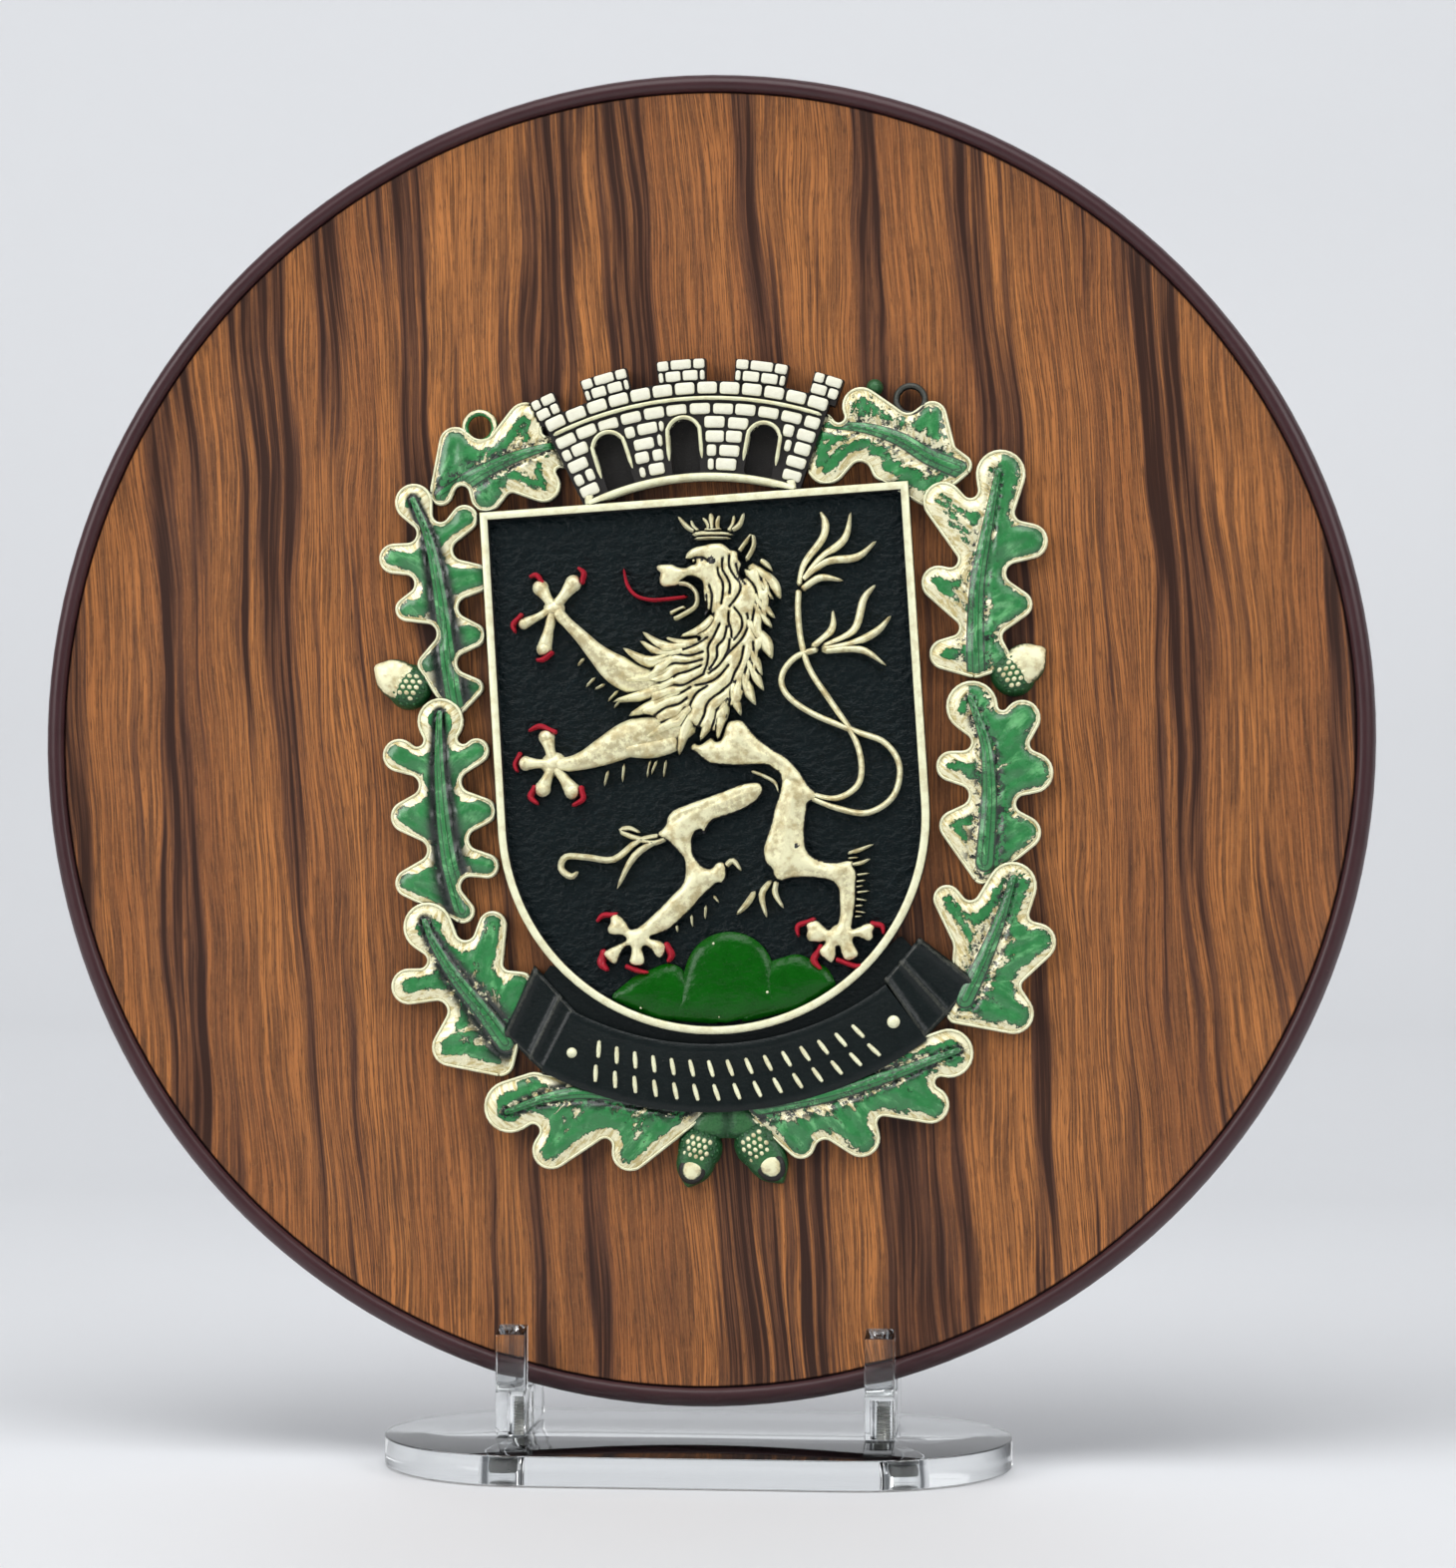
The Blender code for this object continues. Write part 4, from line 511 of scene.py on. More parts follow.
def with_bays(lobes):
    """Put a bay between neighbouring lobes, deeper where they stand further apart."""
    made = []
    for index, lobe in enumerate(lobes):
        if lobe is LINE:
            continue
        made.append(lobe)
        follower = lobes[(index + 1) % len(lobes)]
        if follower is LINE or lobe[2] < 0 or follower[2] < 0:
            continue
        (ax, ay, ar), (bx, by, br) = lobe, follower
        span = hypot(bx - ax, by - ay)
        clear = span - ar - br
        if clear < 0.4:
            continue
        radius = min(max(0.6 + 0.25 * clear, 0.8), 2.2)
        reach_a = ar + clear / 2
        reach_b = br + clear / 2
        least = max((ar + radius) ** 2 - reach_a ** 2, (br + radius) ** 2 - reach_b ** 2)
        lift = 1.02 * sqrt(least) if least > 0 else -min(0.4 * (clear - 3), 2.0)
        ux, uy = (bx - ax) / span, (by - ay) / span
        made.append((ax + ux * reach_a + uy * lift, ay + uy * reach_a - ux * lift, -radius))
    return made


def belt(discs, step_deg):
    """The outline of a belt round discs, outside those of positive radius, inside the others."""
    count = len(discs)
    headings = []
    for index, (ax, ay, ar) in enumerate(discs):
        bx, by, br = discs[(index + 1) % count]
        rise = br - ar
        run = sqrt(max((bx - ax) ** 2 + (by - ay) ** 2 - rise ** 2, 1e-6))
        headings.append(atan2(by - ay, bx - ax) - atan2(rise, run))
    outline = []
    for index, (cx, cy, radius) in enumerate(discs):
        start, end = headings[index - 1], headings[index]
        turn = (end - start) % tau if radius > 0 else -((start - end) % tau)
        if abs(turn) > 1.6 * pi:
            turn = 0.0
        steps = max(1, ceil(abs(turn) / radians(step_deg)))
        for i in range(steps + 1):
            heading = start + turn * i / steps
            outline.append((cx + radius * sin(heading), cy - radius * cos(heading)))
    return outline


def inside(points, loops):
    """Which points lie within closed outlines, by the even-odd rule."""
    within = np.zeros(len(points), bool)
    px, py = points[:, 0], points[:, 1]
    for loop in loops:
        for (ax, ay), (bx, by) in zip(loop, np.roll(loop, -1, axis=0)):
            if ay == by:
                continue
            crossing = (ay > py) != (by > py)
            within ^= crossing & (px < (bx - ax) * (py - ay) / (by - ay) + ax)
    return within


def to_line(points, line, closed=False):
    """Distance, nearest point, share along the line and side (+1 left) of each point."""
    line = np.array(line, float)[:, :2]
    start = line if closed else line[:-1]
    end = np.roll(line, -1, axis=0) if closed else line[1:]
    run = end - start
    length = np.maximum((run ** 2).sum(1), 1e-9)
    offset = points[:, None, :] - start[None]
    share = np.clip((offset * run).sum(2) / length, 0, 1)
    near = start[None] + share[..., None] * run
    gap = np.hypot(*np.moveaxis(points[:, None, :] - near, 2, 0))
    best = gap.argmin(1)
    rows = np.arange(len(points))
    before = np.concatenate([[0], np.cumsum(np.sqrt(length))])
    along = before[best] + share[rows, best] * np.sqrt(length[best])
    side = np.sign(run[best, 0] * offset[rows, best, 1] - run[best, 1] * offset[rows, best, 0])
    return gap[rows, best], near[rows, best], along, side


# Forms of the casting. Each returns a closed bmesh that carries the paint's guides as layers

GUIDES = ("crest", "rim", "rib", "gilt", "patina")


def new_form():
    bm = bmesh.new()
    for name in GUIDES:
        bm.verts.layers.float.new(name)
    bm.verts.layers.float_vector.new("flow")
    return bm


def set_guides(bm, verts, **values):
    """Give the same value, or one value each, to the guides of some vertices."""
    for name, value in values.items():
        layer = bm.verts.layers.float[name]
        if isinstance(value, (int, float)):
            for v in verts:
                v[layer] = value
        else:
            for v, one in zip(verts, value):
                v[layer] = float(one)


def verts_of(geometry):
    return [v for v in geometry if isinstance(v, bmesh.types.BMVert)]


def fill_edge(bm):
    """Close the open edge with a flat face."""
    bmesh.ops.edgeloop_fill(bm, edges=[e for e in bm.edges if e.is_boundary])


def drawn_out(bm, face, way):
    """Draw a face out into a solid and return what was added."""
    raised = bmesh.ops.extrude_face_region(bm, geom=[face], use_keep_orig=True)["geom"]
    bmesh.ops.translate(bm, vec=way, verts=verts_of(raised))
    return raised


def close_below(bm, back):
    """Draw the open edge down to a flat back and close it."""
    rim = [e for e in bm.edges if e.is_boundary]
    drawn = bmesh.ops.extrude_edge_only(bm, edges=rim)["geom"]
    foot = verts_of(drawn)
    for v in foot:
        v.co.z = back
    set_guides(bm, foot, crest=0, rim=-1)
    bmesh.ops.edgeloop_fill(bm, edges=[e for e in drawn if isinstance(e, bmesh.types.BMEdge)])


def painted(bm, finish):
    for face in bm.faces:
        face.material_index = finish
    return bm


def ridge(stations, root, top, finish, steps=5, sections=8, fullness=0.7, capped=(True, True)):
    """A rounded ridge along (x, y, half width) stations, closed below."""
    path = curve_through(stations, steps)
    last = len(path) - 1
    runs = [(b - a).to_2d().length for a, b in zip(path, path[1:])]
    from_start = [sum(runs[:i]) for i in range(last + 1)]
    bm = new_form()
    made = bmesh.ops.create_grid(bm, x_segments=last, y_segments=sections, size=0.5)["verts"]
    crest = bm.verts.layers.float["crest"]
    ends = []
    for v in made:
        i = round((v.co.x + 0.5) * last)
        share = v.co.y + 0.5
        station = path[i]
        along = (path[min(i + 1, last)] - path[max(i - 1, 0)]).to_2d().normalized()
        width = max(station.z, 0.05)
        cap = 1.0
        if capped[0]:
            cap = min(cap, from_start[i] / width)
        if capped[1]:
            cap = min(cap, (from_start[-1] - from_start[i]) / width)
        cap = sqrt(max(1 - (1 - cap) ** 2, 0))
        lift = sin(pi * share) ** fullness * cap if 0 < share < 1 else 0.0
        across = -cos(pi * share) * width * cap
        v.co = (station.x - along.y * across, station.y + along.x * across, root + (top - root) * lift)
        v[crest] = lift
        if i in (0, last):
            ends.append(v)
    bmesh.ops.remove_doubles(bm, verts=ends, dist=0.003)
    fill_edge(bm)
    return painted(bm, finish)


def tapered(points, half_width, tip=0.12):
    """Give points a half width that swells from the root and runs out at the tip."""
    last = len(points) - 1
    return [(x, y, half_width * (0.8 if i == 0 else 1.0 if i < last else tip))
            for i, (x, y) in enumerate(points)]


def boss(x, y, half_long, half_wide, base, top, finish, turn=0.0, rings=10):
    """A dome on an oval foot."""
    bm = new_form()
    bmesh.ops.create_uvsphere(bm, u_segments=2 * rings, v_segments=rings, radius=1)
    bmesh.ops.bisect_plane(bm, geom=bm.verts[:] + bm.edges[:] + bm.faces[:], plane_co=(0, 0, 0),
                           plane_no=(0, 0, 1), clear_inner=True)
    set_guides(bm, bm.verts, crest=[v.co.z for v in bm.verts])
    fill_edge(bm)
    bm.transform(Matrix.Translation((x, y, base)) @ Matrix.Rotation(turn, 4, "Z")
                 @ Matrix.Diagonal((half_long, half_wide, top - base, 1)))
    return painted(bm, finish)


def plate(outline, spacing, height, back, finish, holes=(), relax=3):
    """A grid trimmed to an outline, raised by height(xy, edge distance, guides) and closed below."""
    edge = np.array(outline, float)
    loops = [edge, *(np.array(h, float) for h in holes)]
    low, span = edge.min(0), np.ptp(edge, axis=0)
    cells = np.ceil(span / spacing).astype(int)
    bm = new_form()
    bmesh.ops.create_grid(bm, x_segments=int(cells[0]), y_segments=int(cells[1]), size=0.5)
    bm.transform(Matrix.Translation((low[0] + span[0] / 2, low[1] + span[1] / 2, 0))
                 @ Matrix.Diagonal((span[0], span[1], 1, 1)))
    centres = np.array([f.calc_center_median()[:2] for f in bm.faces])
    kept = inside(centres, loops)
    bmesh.ops.delete(bm, geom=[f for f, keep in zip(bm.faces, kept) if not keep], context="FACES")
    pinched = [v for v in bm.verts if sum(e.is_boundary for e in v.link_edges) > 2]
    while pinched:
        bmesh.ops.delete(bm, geom=list({v.link_faces[0] for v in pinched}), context="FACES")
        pinched = [v for v in bm.verts if sum(e.is_boundary for e in v.link_edges) > 2]
    rim = [v for v in bm.verts if v.is_boundary]
    places = np.array([v.co[:2] for v in rim])
    found = [to_line(places, loop, True) for loop in loops]
    nearest = np.argmin([f[0] for f in found], axis=0)
    for index, v in enumerate(rim):
        v.co.x, v.co.y = found[nearest[index]][1][index]
    inner = [v for v in bm.verts if not v.is_boundary]
    for _ in range(relax):
        bmesh.ops.smooth_vert(bm, verts=inner, factor=0.5, use_axis_x=True, use_axis_y=True)
    top = bm.verts[:]
    places = np.array([v.co[:2] for v in top])
    distance = np.min([to_line(places, loop, True)[0] for loop in loops], axis=0)
    levels, guides = height(places, distance)
    if holes:
        raised = bmesh.ops.extrude_face_region(bm, geom=bm.faces[:], use_keep_orig=True)["geom"]
        for v in verts_of(raised):
            v.co.z = back
        set_guides(bm, bm.verts, crest=0, rim=-1)
    for v, level in zip(top, levels):
        v.co.z = float(level)
    set_guides(bm, top, rim=distance, **{k: g for k, g in guides.items() if k != "flow"})
    if "flow" in guides:
        flow = bm.verts.layers.float_vector["flow"]
        for v, one in zip(top, guides["flow"]):
            v[flow] = Vector(one)
    if not holes:
        close_below(bm, back)
    return painted(bm, finish)


def flat_at(level):
    """A height for plate() that lays it flat at one level."""
    def height(xy, distance):
        return np.full(len(xy), level), {"crest": np.zeros(len(xy))}

    return height


def bump(distance, centre, width):
    """A smooth hump over a distance, for building up sections of relief."""
    return np.exp(-((distance - centre) / width) ** 2)


# Finishes of the casting, in the order of its material slots
LEAF, GOLD, FIELD_PAINT, GILT, MASONRY, JOINTS, MOUNT, RED, BLACK, NUT, CUP = range(11)


def leaf(index, midrib, lobes, paint):
    """An oak leaf: beaded rim, domed lobes, side veins and a grooved midrib."""
    grid = bpy.context.scene.plaque_sizes.leaf_grid / MM
    discs = with_bays(lobes)
    outline = belt(discs, 14)
    rib_line = curve_through(midrib, 8)
    root, tip = np.array(midrib[0]), np.array(midrib[-1])
    axis = tip - root
    length = np.hypot(*axis)
    veins = []
    for lobe in lobes[1:]:
        if lobe is LINE or lobe[2] < 2.0:
            continue
        centre = np.array(lobe[:2])
        reach = to_line(centre[None], rib_line)[0][0]
        if reach < 2.0:
            continue
        foot = min(midrib[:-1], key=lambda p: np.hypot(*(p - centre + axis / length * 0.75 * reach)))
        foot = np.array(foot)
        outward = (centre - foot) / np.hypot(*(centre - foot))
        bend = (foot + centre) / 2 + axis / length * 0.8
        veins.append(curve_through([foot, bend, centre + outward * lobe[2] * 0.6], 5))
    left_gilt, right_gilt, patina, tip_gilt, bay_gilt = paint

    def height(xy, distance):
        rib, _, along, side = to_line(xy, rib_line)
        share = np.clip((xy - root) @ axis / length ** 2, 0, 1)
        found = [to_line(xy, vein) for vein in veins]
        gaps = np.array([f[0] for f in found])
        nearest = gaps.argmin(0)
        rows = np.arange(len(xy))
        vein = gaps[nearest, rows]
        run = np.array([f[2] for f in found])[nearest, rows]
        dome = 1 - np.exp(-distance / 2.3)
        rib = rib / (1.2 - 0.8 * share ** 1.5)
        away = 1 - np.exp(-(rib / 2.0) ** 2)
        level = (LEAF_EDGE + LEAF_TIP_RISE * share + 1.35 * dome - 0.2 * bump(distance, 1.2, 0.5)
                 + 0.30 * dome * away * bump(vein, 2.3, 1.2) - 0.22 * bump(vein, 0, 0.55) * dome * away
                 - 0.75 * bump(rib, 2.0, 0.7) * dome + 0.60 * bump(rib, 0, 1.2) * dome
                 - 0.14 * bump(rib, 0.6, 0.45))
        level = level + 0.06 * np.sin(2.1 * run + 3 * np.sin(0.9 * vein + index)) * dome * away
        gilt = (np.where(side > 0, left_gilt + 0.15 * bump(distance, 0.4, 1.8), right_gilt)
                + 0.10 * bump(rib, 2.4, 1.0) - 0.12 * bump(distance, 3.5, 1.3)
                + tip_gilt * (share - 0.5)
                + bay_gilt * np.clip((vein - 1.3) / 1.5, 0, 1) * bump(distance, 0.8, 1.7))
        flow = np.stack([run, vein * side, np.full(len(xy), 7.3 * index) + nearest], 1)
        return level, {"rib": rib, "gilt": gilt, "patina": np.full(len(xy), patina),
                       "crest": dome, "flow": flow}

    def lifted(bm):
        for v in bm.verts:
            along = (v.co.x - root[0]) * axis[0] + (v.co.y - root[1]) * axis[1]
            v.co.z += LEAF_TIP_RISE * min(max(along / length ** 2, 0), 1)
        return bm

    edge = spaced(belt([(x, y, radius - BEAD_INSET) for x, y, radius in discs], 14), 0.3)
    bead = lifted(ridge([(x, y, BEAD_HALF) for x, y in edge + edge[:2]], LEAF_EDGE - 0.7,
                        LEAF_EDGE + 0.55, GILT, 1, 6, 0.5))
    forms = [plate(outline, grid, height, 0.0, LEAF), bead]
    for bm in forms:
        sink_under_crown(bm)
    return forms


def spaced(points, least):
    """Drop points that lie closer than the least spacing to the one before."""
    kept = [points[0]]
    for point in points[1:]:
        if hypot(point[0] - kept[-1][0], point[1] - kept[-1][1]) > least:
            kept.append(point)
    return kept


def sink_under_crown(bm):
    """Keep what reaches under the crown's ends below its wall."""
    for v in bm.verts:
        across, up = v.co.x - CROWN_CENTRE[0], v.co.y - CROWN_CENTRE[1]
        if up > 50 and abs(atan2(across, up)) < radians(CROWN_HALF_ANGLE + 0.6):
            v.co.z = min(v.co.z, CROWN_WALL - 0.7)


def acorn(root, tip, half, gilt_nut):
    """A studded cup and the nut that looks out of it, gilt all over or only in a patch."""
    root, tip = Vector(root), Vector(tip)
    axis = tip - root
    length = axis.length
    turn = atan2(axis.y, axis.x)
    cup = root.lerp(tip, 0.36)
    along_nut = ((0.3, 0.8), (0.5, 0.88), (0.68, 0.84), (0.84, 0.64), (0.94, 0.34), (1.02, 0.12))
    nut = ridge([(*root.lerp(tip, share), wide * half) for share, wide in along_nut], 0.2, 3.9,
                NUT if gilt_nut else CUP, 4, 16, 0.6, (False, True))
    for v in nut.verts:
        beyond = max((v.co.to_2d() - root).dot(axis) / length ** 2 - 0.55, 0) / 0.45
        v.co.z = 0.2 + (v.co.z - 0.2) * sqrt(max(1 - 0.72 * beyond ** 2, 0.1))
    forms = [nut, boss(*cup, 0.36 * length, 1.02 * half, 0.05, 4.2, CUP, turn, 12)]
    if not gilt_nut:
        patch = root.lerp(tip, 0.72)
        for long, wide, top, finish in ((0.23, 0.62, 3.86, JOINTS), (0.19, 0.52, 4.15, NUT)):
            forms.append(boss(*patch, long * length, wide * half, 2.9, top, finish, turn, 12))
    along, across = axis.normalized(), axis.normalized().orthogonal()
    for row in range(5):
        step = -0.62 + 0.25 * row
        reach = sqrt(1 - step * step)
        for i in range(7):
            slide = (i - 3 + 0.5 * (row % 2)) * 0.27
            if abs(slide) > 0.9 * reach:
                continue
            place = cup + along * step * 0.36 * length + across * slide * half
            level = 0.05 + 4.15 * sqrt(max(1 - step ** 2 - slide ** 2, 0.05))
            gilt = 0 < i < 5 and row > 0
            size = 0.68 if gilt else 0.55
            forms.append(boss(place.x, place.y, size, 0.84 * size, level - 0.5, level + 0.38,
                              GOLD if gilt else CUP, turn, 5))
    return forms


def shield():
    """The shield's body with its raised border, made by insets from the outline."""
    bm = new_form()
    outline = [(SHIELD_HALF, SHIELD_TOP), (-SHIELD_HALF, SHIELD_TOP),
               *arc(SHIELD_CENTRE, SHIELD_HALF, 180, 360, 72)]
    face = bm.faces.new([bm.verts.new((x, y, 0)) for x, y in outline])
    bmesh.ops.recalc_face_normals(bm, faces=[face])
    if face.normal.z < 0:
        bmesh.ops.reverse_faces(bm, faces=[face])
    raised = drawn_out(bm, face, (0, 0, BORDER - 0.7))
    top = next(g for g in raised if isinstance(g, bmesh.types.BMFace))
    for face in bm.faces:
        face.material_index = JOINTS
    floor = FIELD - 0.35
    steps = ((0.12, 0.32, GILT), (0.18, 0.24, GILT), (0.3, 0.14, GILT), (0.6, 0.0, GILT),
             (0.3, -0.14, GILT), (0.18, -0.3, GILT), (0.1, -0.5, JOINTS),
             (0.05, floor - BORDER + 0.94, JOINTS))
    for thickness, depth, finish in steps:
        band = bmesh.ops.inset_region(bm, faces=[top], thickness=thickness, depth=depth,
                                      use_even_offset=True)["faces"]
        for face in band:
            face.material_index = finish
    top.material_index = JOINTS
    crest = bm.verts.layers.float["crest"]
    for v in bm.verts:
        v[crest] = min(max((v.co.z - BORDER + 0.7) / 0.6, 0), 1)
    return bm


def hammered_field():
    grid = bpy.context.scene.plaque_sizes.field_grid / MM
    outline = [(FIELD_HALF, FIELD_TOP), (-FIELD_HALF, FIELD_TOP),
               *arc(SHIELD_CENTRE, FIELD_HALF, 180, 360, 60)]

    def height(xy, distance):
        x, y = xy.T
        grain = (np.sin(2.3 * x + 1.9 * np.sin(1.1 * y)) * np.sin(2.0 * y + 1.7 * np.sin(0.9 * x))
                 + 0.5 * np.sin(3.9 * x - 1.3 * y) * np.sin(3.1 * y + 0.7 * x))
        # The crest guide marks the tops of the hammered grain, where the field takes a painted highlight
        return FIELD + 0.09 * grain, {"crest": 0.5 + 0.33 * grain}

    return plate(outline, grid, height, ROOT - 0.2, FIELD_PAINT, relax=1)


def mount_top(discs, top):
    def height(xy, distance):
        dome = 1 - np.exp(-distance / 1.1)
        return top - 1.5 * (1 - dome) + 0.35 * np.minimum(distance / 6, 1), {"crest": dome}

    return plate(belt(discs, 10), 0.75, height, ROOT, MOUNT)


def paw_forms():
    forms = []
    for (x, y, half), *knobs in PAWS:
        forms.append(boss(x, y, 1.6 * half, 1.5 * half, ROOT, LION - 0.1, GOLD))
        for kx, ky, knob in knobs:
            knob *= 1.2
            neck = (x + 0.5 * (kx - x), y + 0.5 * (ky - y), 0.62 * knob)
            reach = hypot(kx - x, ky - y)
            pad = (x + (1 + 0.35 * knob / reach) * (kx - x), y + (1 + 0.35 * knob / reach) * (ky - y),
                   0.8 * knob)
            forms.append(ridge([(x, y, 0.85 * half), neck, (kx, ky, knob), pad], ROOT, LION - 0.25,
                               GOLD, 4, 8, 0.6))
            forms.append(boss(kx, ky, 1.05 * knob, 1.05 * knob, ROOT, LION + 0.1, GOLD, 0, 8))
    return forms


def head_and_mane():
    """The head and mane in one relief: rounded locks with dark grooves between them."""
    grooves = [curve_through(line, 4) for line in MANE_GROOVES]

    def height(xy, distance):
        groove = np.min([to_line(xy, line)[0] for line in grooves], axis=0)
        edge = 1 - np.exp(-distance / 0.35)
        level = LION + 0.75 - 1.5 * (1 - edge) - 0.75 * bump(groove, 0, 0.42)
        level = level + 0.45 * (1 - np.exp(-groove / 1.1)) * edge
        crest = np.minimum(edge, 1 - bump(groove, 0, 0.45))
        return level, {"crest": crest}

    return plate(closed_curve(MANE_OUTLINE, 3), 0.34, height, ROOT, GOLD)


def hind_form(outline):
    """A smooth limb with rounded edges, bright where it stands high and khaki in its hollows as painted
    shade.
    """
    lines = [(curve_through(line, 4), half) for line, half in HIND_LINES]

    def height(xy, distance):
        tone = np.max([bump(to_line(xy, line)[0], 0, 1.5 * half) for line, half in lines], axis=0)
        edge = 1 - np.exp(-distance / 0.5)
        level = LION - 0.1 - 1.3 * (1 - edge) + 0.5 * np.minimum(distance / 3, 1) - 0.28 * tone
        return level, {"crest": edge * (1 - 0.25 * tone), "gilt": tone}

    return plate(closed_curve(outline, 3), 0.42, height, ROOT, GOLD)


def lion_forms():
    """The lion: body and limbs, head, paws, claws, mane, tails, curls and fur."""
    forms = [ridge(s, ROOT, LION + 0.1 * (k % 3), GOLD, 6, 12, 0.55) for k, s in enumerate(FORELEGS)]
    # Painted light on the forelegs: khaki painted shade on their broad tops, so that their rounded edges
    # stay bright as a painted highlight
    for bm in forms:
        lift = bm.verts.layers.float["crest"]
        set_guides(bm, bm.verts, gilt=[min(max((v[lift] - 0.8) / 0.15, 0), 1) for v in bm.verts])
    forms += [head_and_mane(), *(hind_form(outline) for outline in HIND_OUTLINES)]
    forms += [ridge([(x, y, w) for x, y in p], ROOT, LION + 0.5, GOLD, 5, 7) for p, w in HEAD_LINES]
    forms += paw_forms()
    forms += [boss(-0.5, 36.1, 0.45, 0.42, ROOT, LION + 1.0, GOLD, 0, 6)]
    for (ax, ay, aw), (bx, by, bw), (cx, cy, cw) in CLAWS:
        rooted = (ax - 0.7 * (bx - ax), ay - 0.7 * (by - ay), 1.2 * aw)
        forms.append(ridge([rooted, (ax, ay, 1.25 * aw), (bx, by, 1.2 * bw), (cx, cy, cw)], ROOT,
                           LION - 0.55, RED, 5, 7))
    forms += [ridge(tapered(TONGUE, 0.4, 0.3), ROOT, LION - 0.6, RED, 5, 7)]
    forms += [ridge(tapered(p, 1.4 * w), ROOT, LION + 0.5 + 0.14 * (k % 2), GOLD, 5, 9, 0.7)
              for k, (p, w) in enumerate(LOCKS)]
    forms += [ridge([(x, y, 0.66) for x, y in stem], ROOT, LION - 0.7, GOLD, 7, 8) for stem in TAILS]
    forms += [ridge(tapered(p, 0.8, 0.25), ROOT, LION - 0.6, GOLD, 6, 8) for p in TUFTS]
    forms += [ridge(tapered(p, 1.3 * w, 0.35), ROOT, LION - 0.5, GOLD, 4, 7) for p, w in CURLS]
    for bm in forms:
        crest = bm.verts.layers.float["crest"]
        # Painted shade: the crest is lowered in these hollows so that the dark wash darkens them
        for x, y, radius in SHADED_HOLLOWS:
            for v in bm.verts:
                if hypot(v.co.x - x, v.co.y - y) < radius:
                    v[crest] *= 0.15
    return forms


def block(inner, outer, start, end, low, high, finish, ease):
    """A brick or slab of a ring, its edges eased, bent to the ring's curve."""
    middle = (inner + outer) / 2
    width = radians(end - start) * middle
    bm = new_form()
    bmesh.ops.create_cube(bm, size=1)
    bm.transform(Matrix.Diagonal((width, outer - inner, high - low, 1)))
    long_edges = [e for e in bm.edges if abs(e.verts[0].co.x - e.verts[1].co.x) > width / 2]
    cuts = max(int(width / 3) - 1, 0)
    if cuts:
        bmesh.ops.subdivide_edges(bm, edges=long_edges, cuts=cuts, use_grid_fill=True)
    if ease:
        sharp = [e for e in bm.edges if e.calc_face_angle(0) > 1 and max(v.co.z for v in e.verts) > 0]
        bmesh.ops.bevel(bm, geom=sharp, offset=ease, affect="EDGES", segments=3, profile=0.5,
                        material=-1)
    crest = bm.verts.layers.float["crest"]
    turn = (start + end) / 2
    for v in bm.verts:
        v[crest] = min(max(v.co.z / (high - low) + 0.5, 0), 1)
        x, y = polar(CROWN_CENTRE, middle + v.co.y, turn + v.co.x / middle * 180 / pi)
        v.co = (x, y, (low + high) / 2 + v.co.z)
    return painted(bm, finish)


def window_outline(angle, top_radius, margin, steps=10):
    """An arched opening that stands radially in the crown's wall, its foot last."""
    half = WINDOW_HALF + margin
    spring = top_radius - WINDOW_RISE - WINDOW_HALF
    shape = [(half, WINDOW_FOOT), *arc((0, spring), half, 0, 180, steps), (-half, WINDOW_FOOT)]
    turn = Matrix.Rotation(-radians(angle), 2)
    return [tuple(turn @ Vector(p) + Vector(CROWN_CENTRE)) for p in shape]


def clear_of_windows(start, end, inner):
    """Cut a brick's angular span back to what the windows leave of it."""
    for angle, top_radius in WINDOWS:
        spring = top_radius - WINDOW_RISE - WINDOW_HALF
        rise = inner + 1.2 - spring
        reach = WINDOW_HALF + 1.5
        if rise > 0:
            reach = sqrt(max(reach ** 2 - rise ** 2, 0))
        half = reach / inner * 180 / pi
        low, high = angle - half, angle + half
        if start >= high or end <= low or reach == 0:
            continue
        if start < low:
            end = low
        elif end > high:
            start = high
        else:
            return None
    return (start, end) if radians(end - start) * inner > 0.9 else None


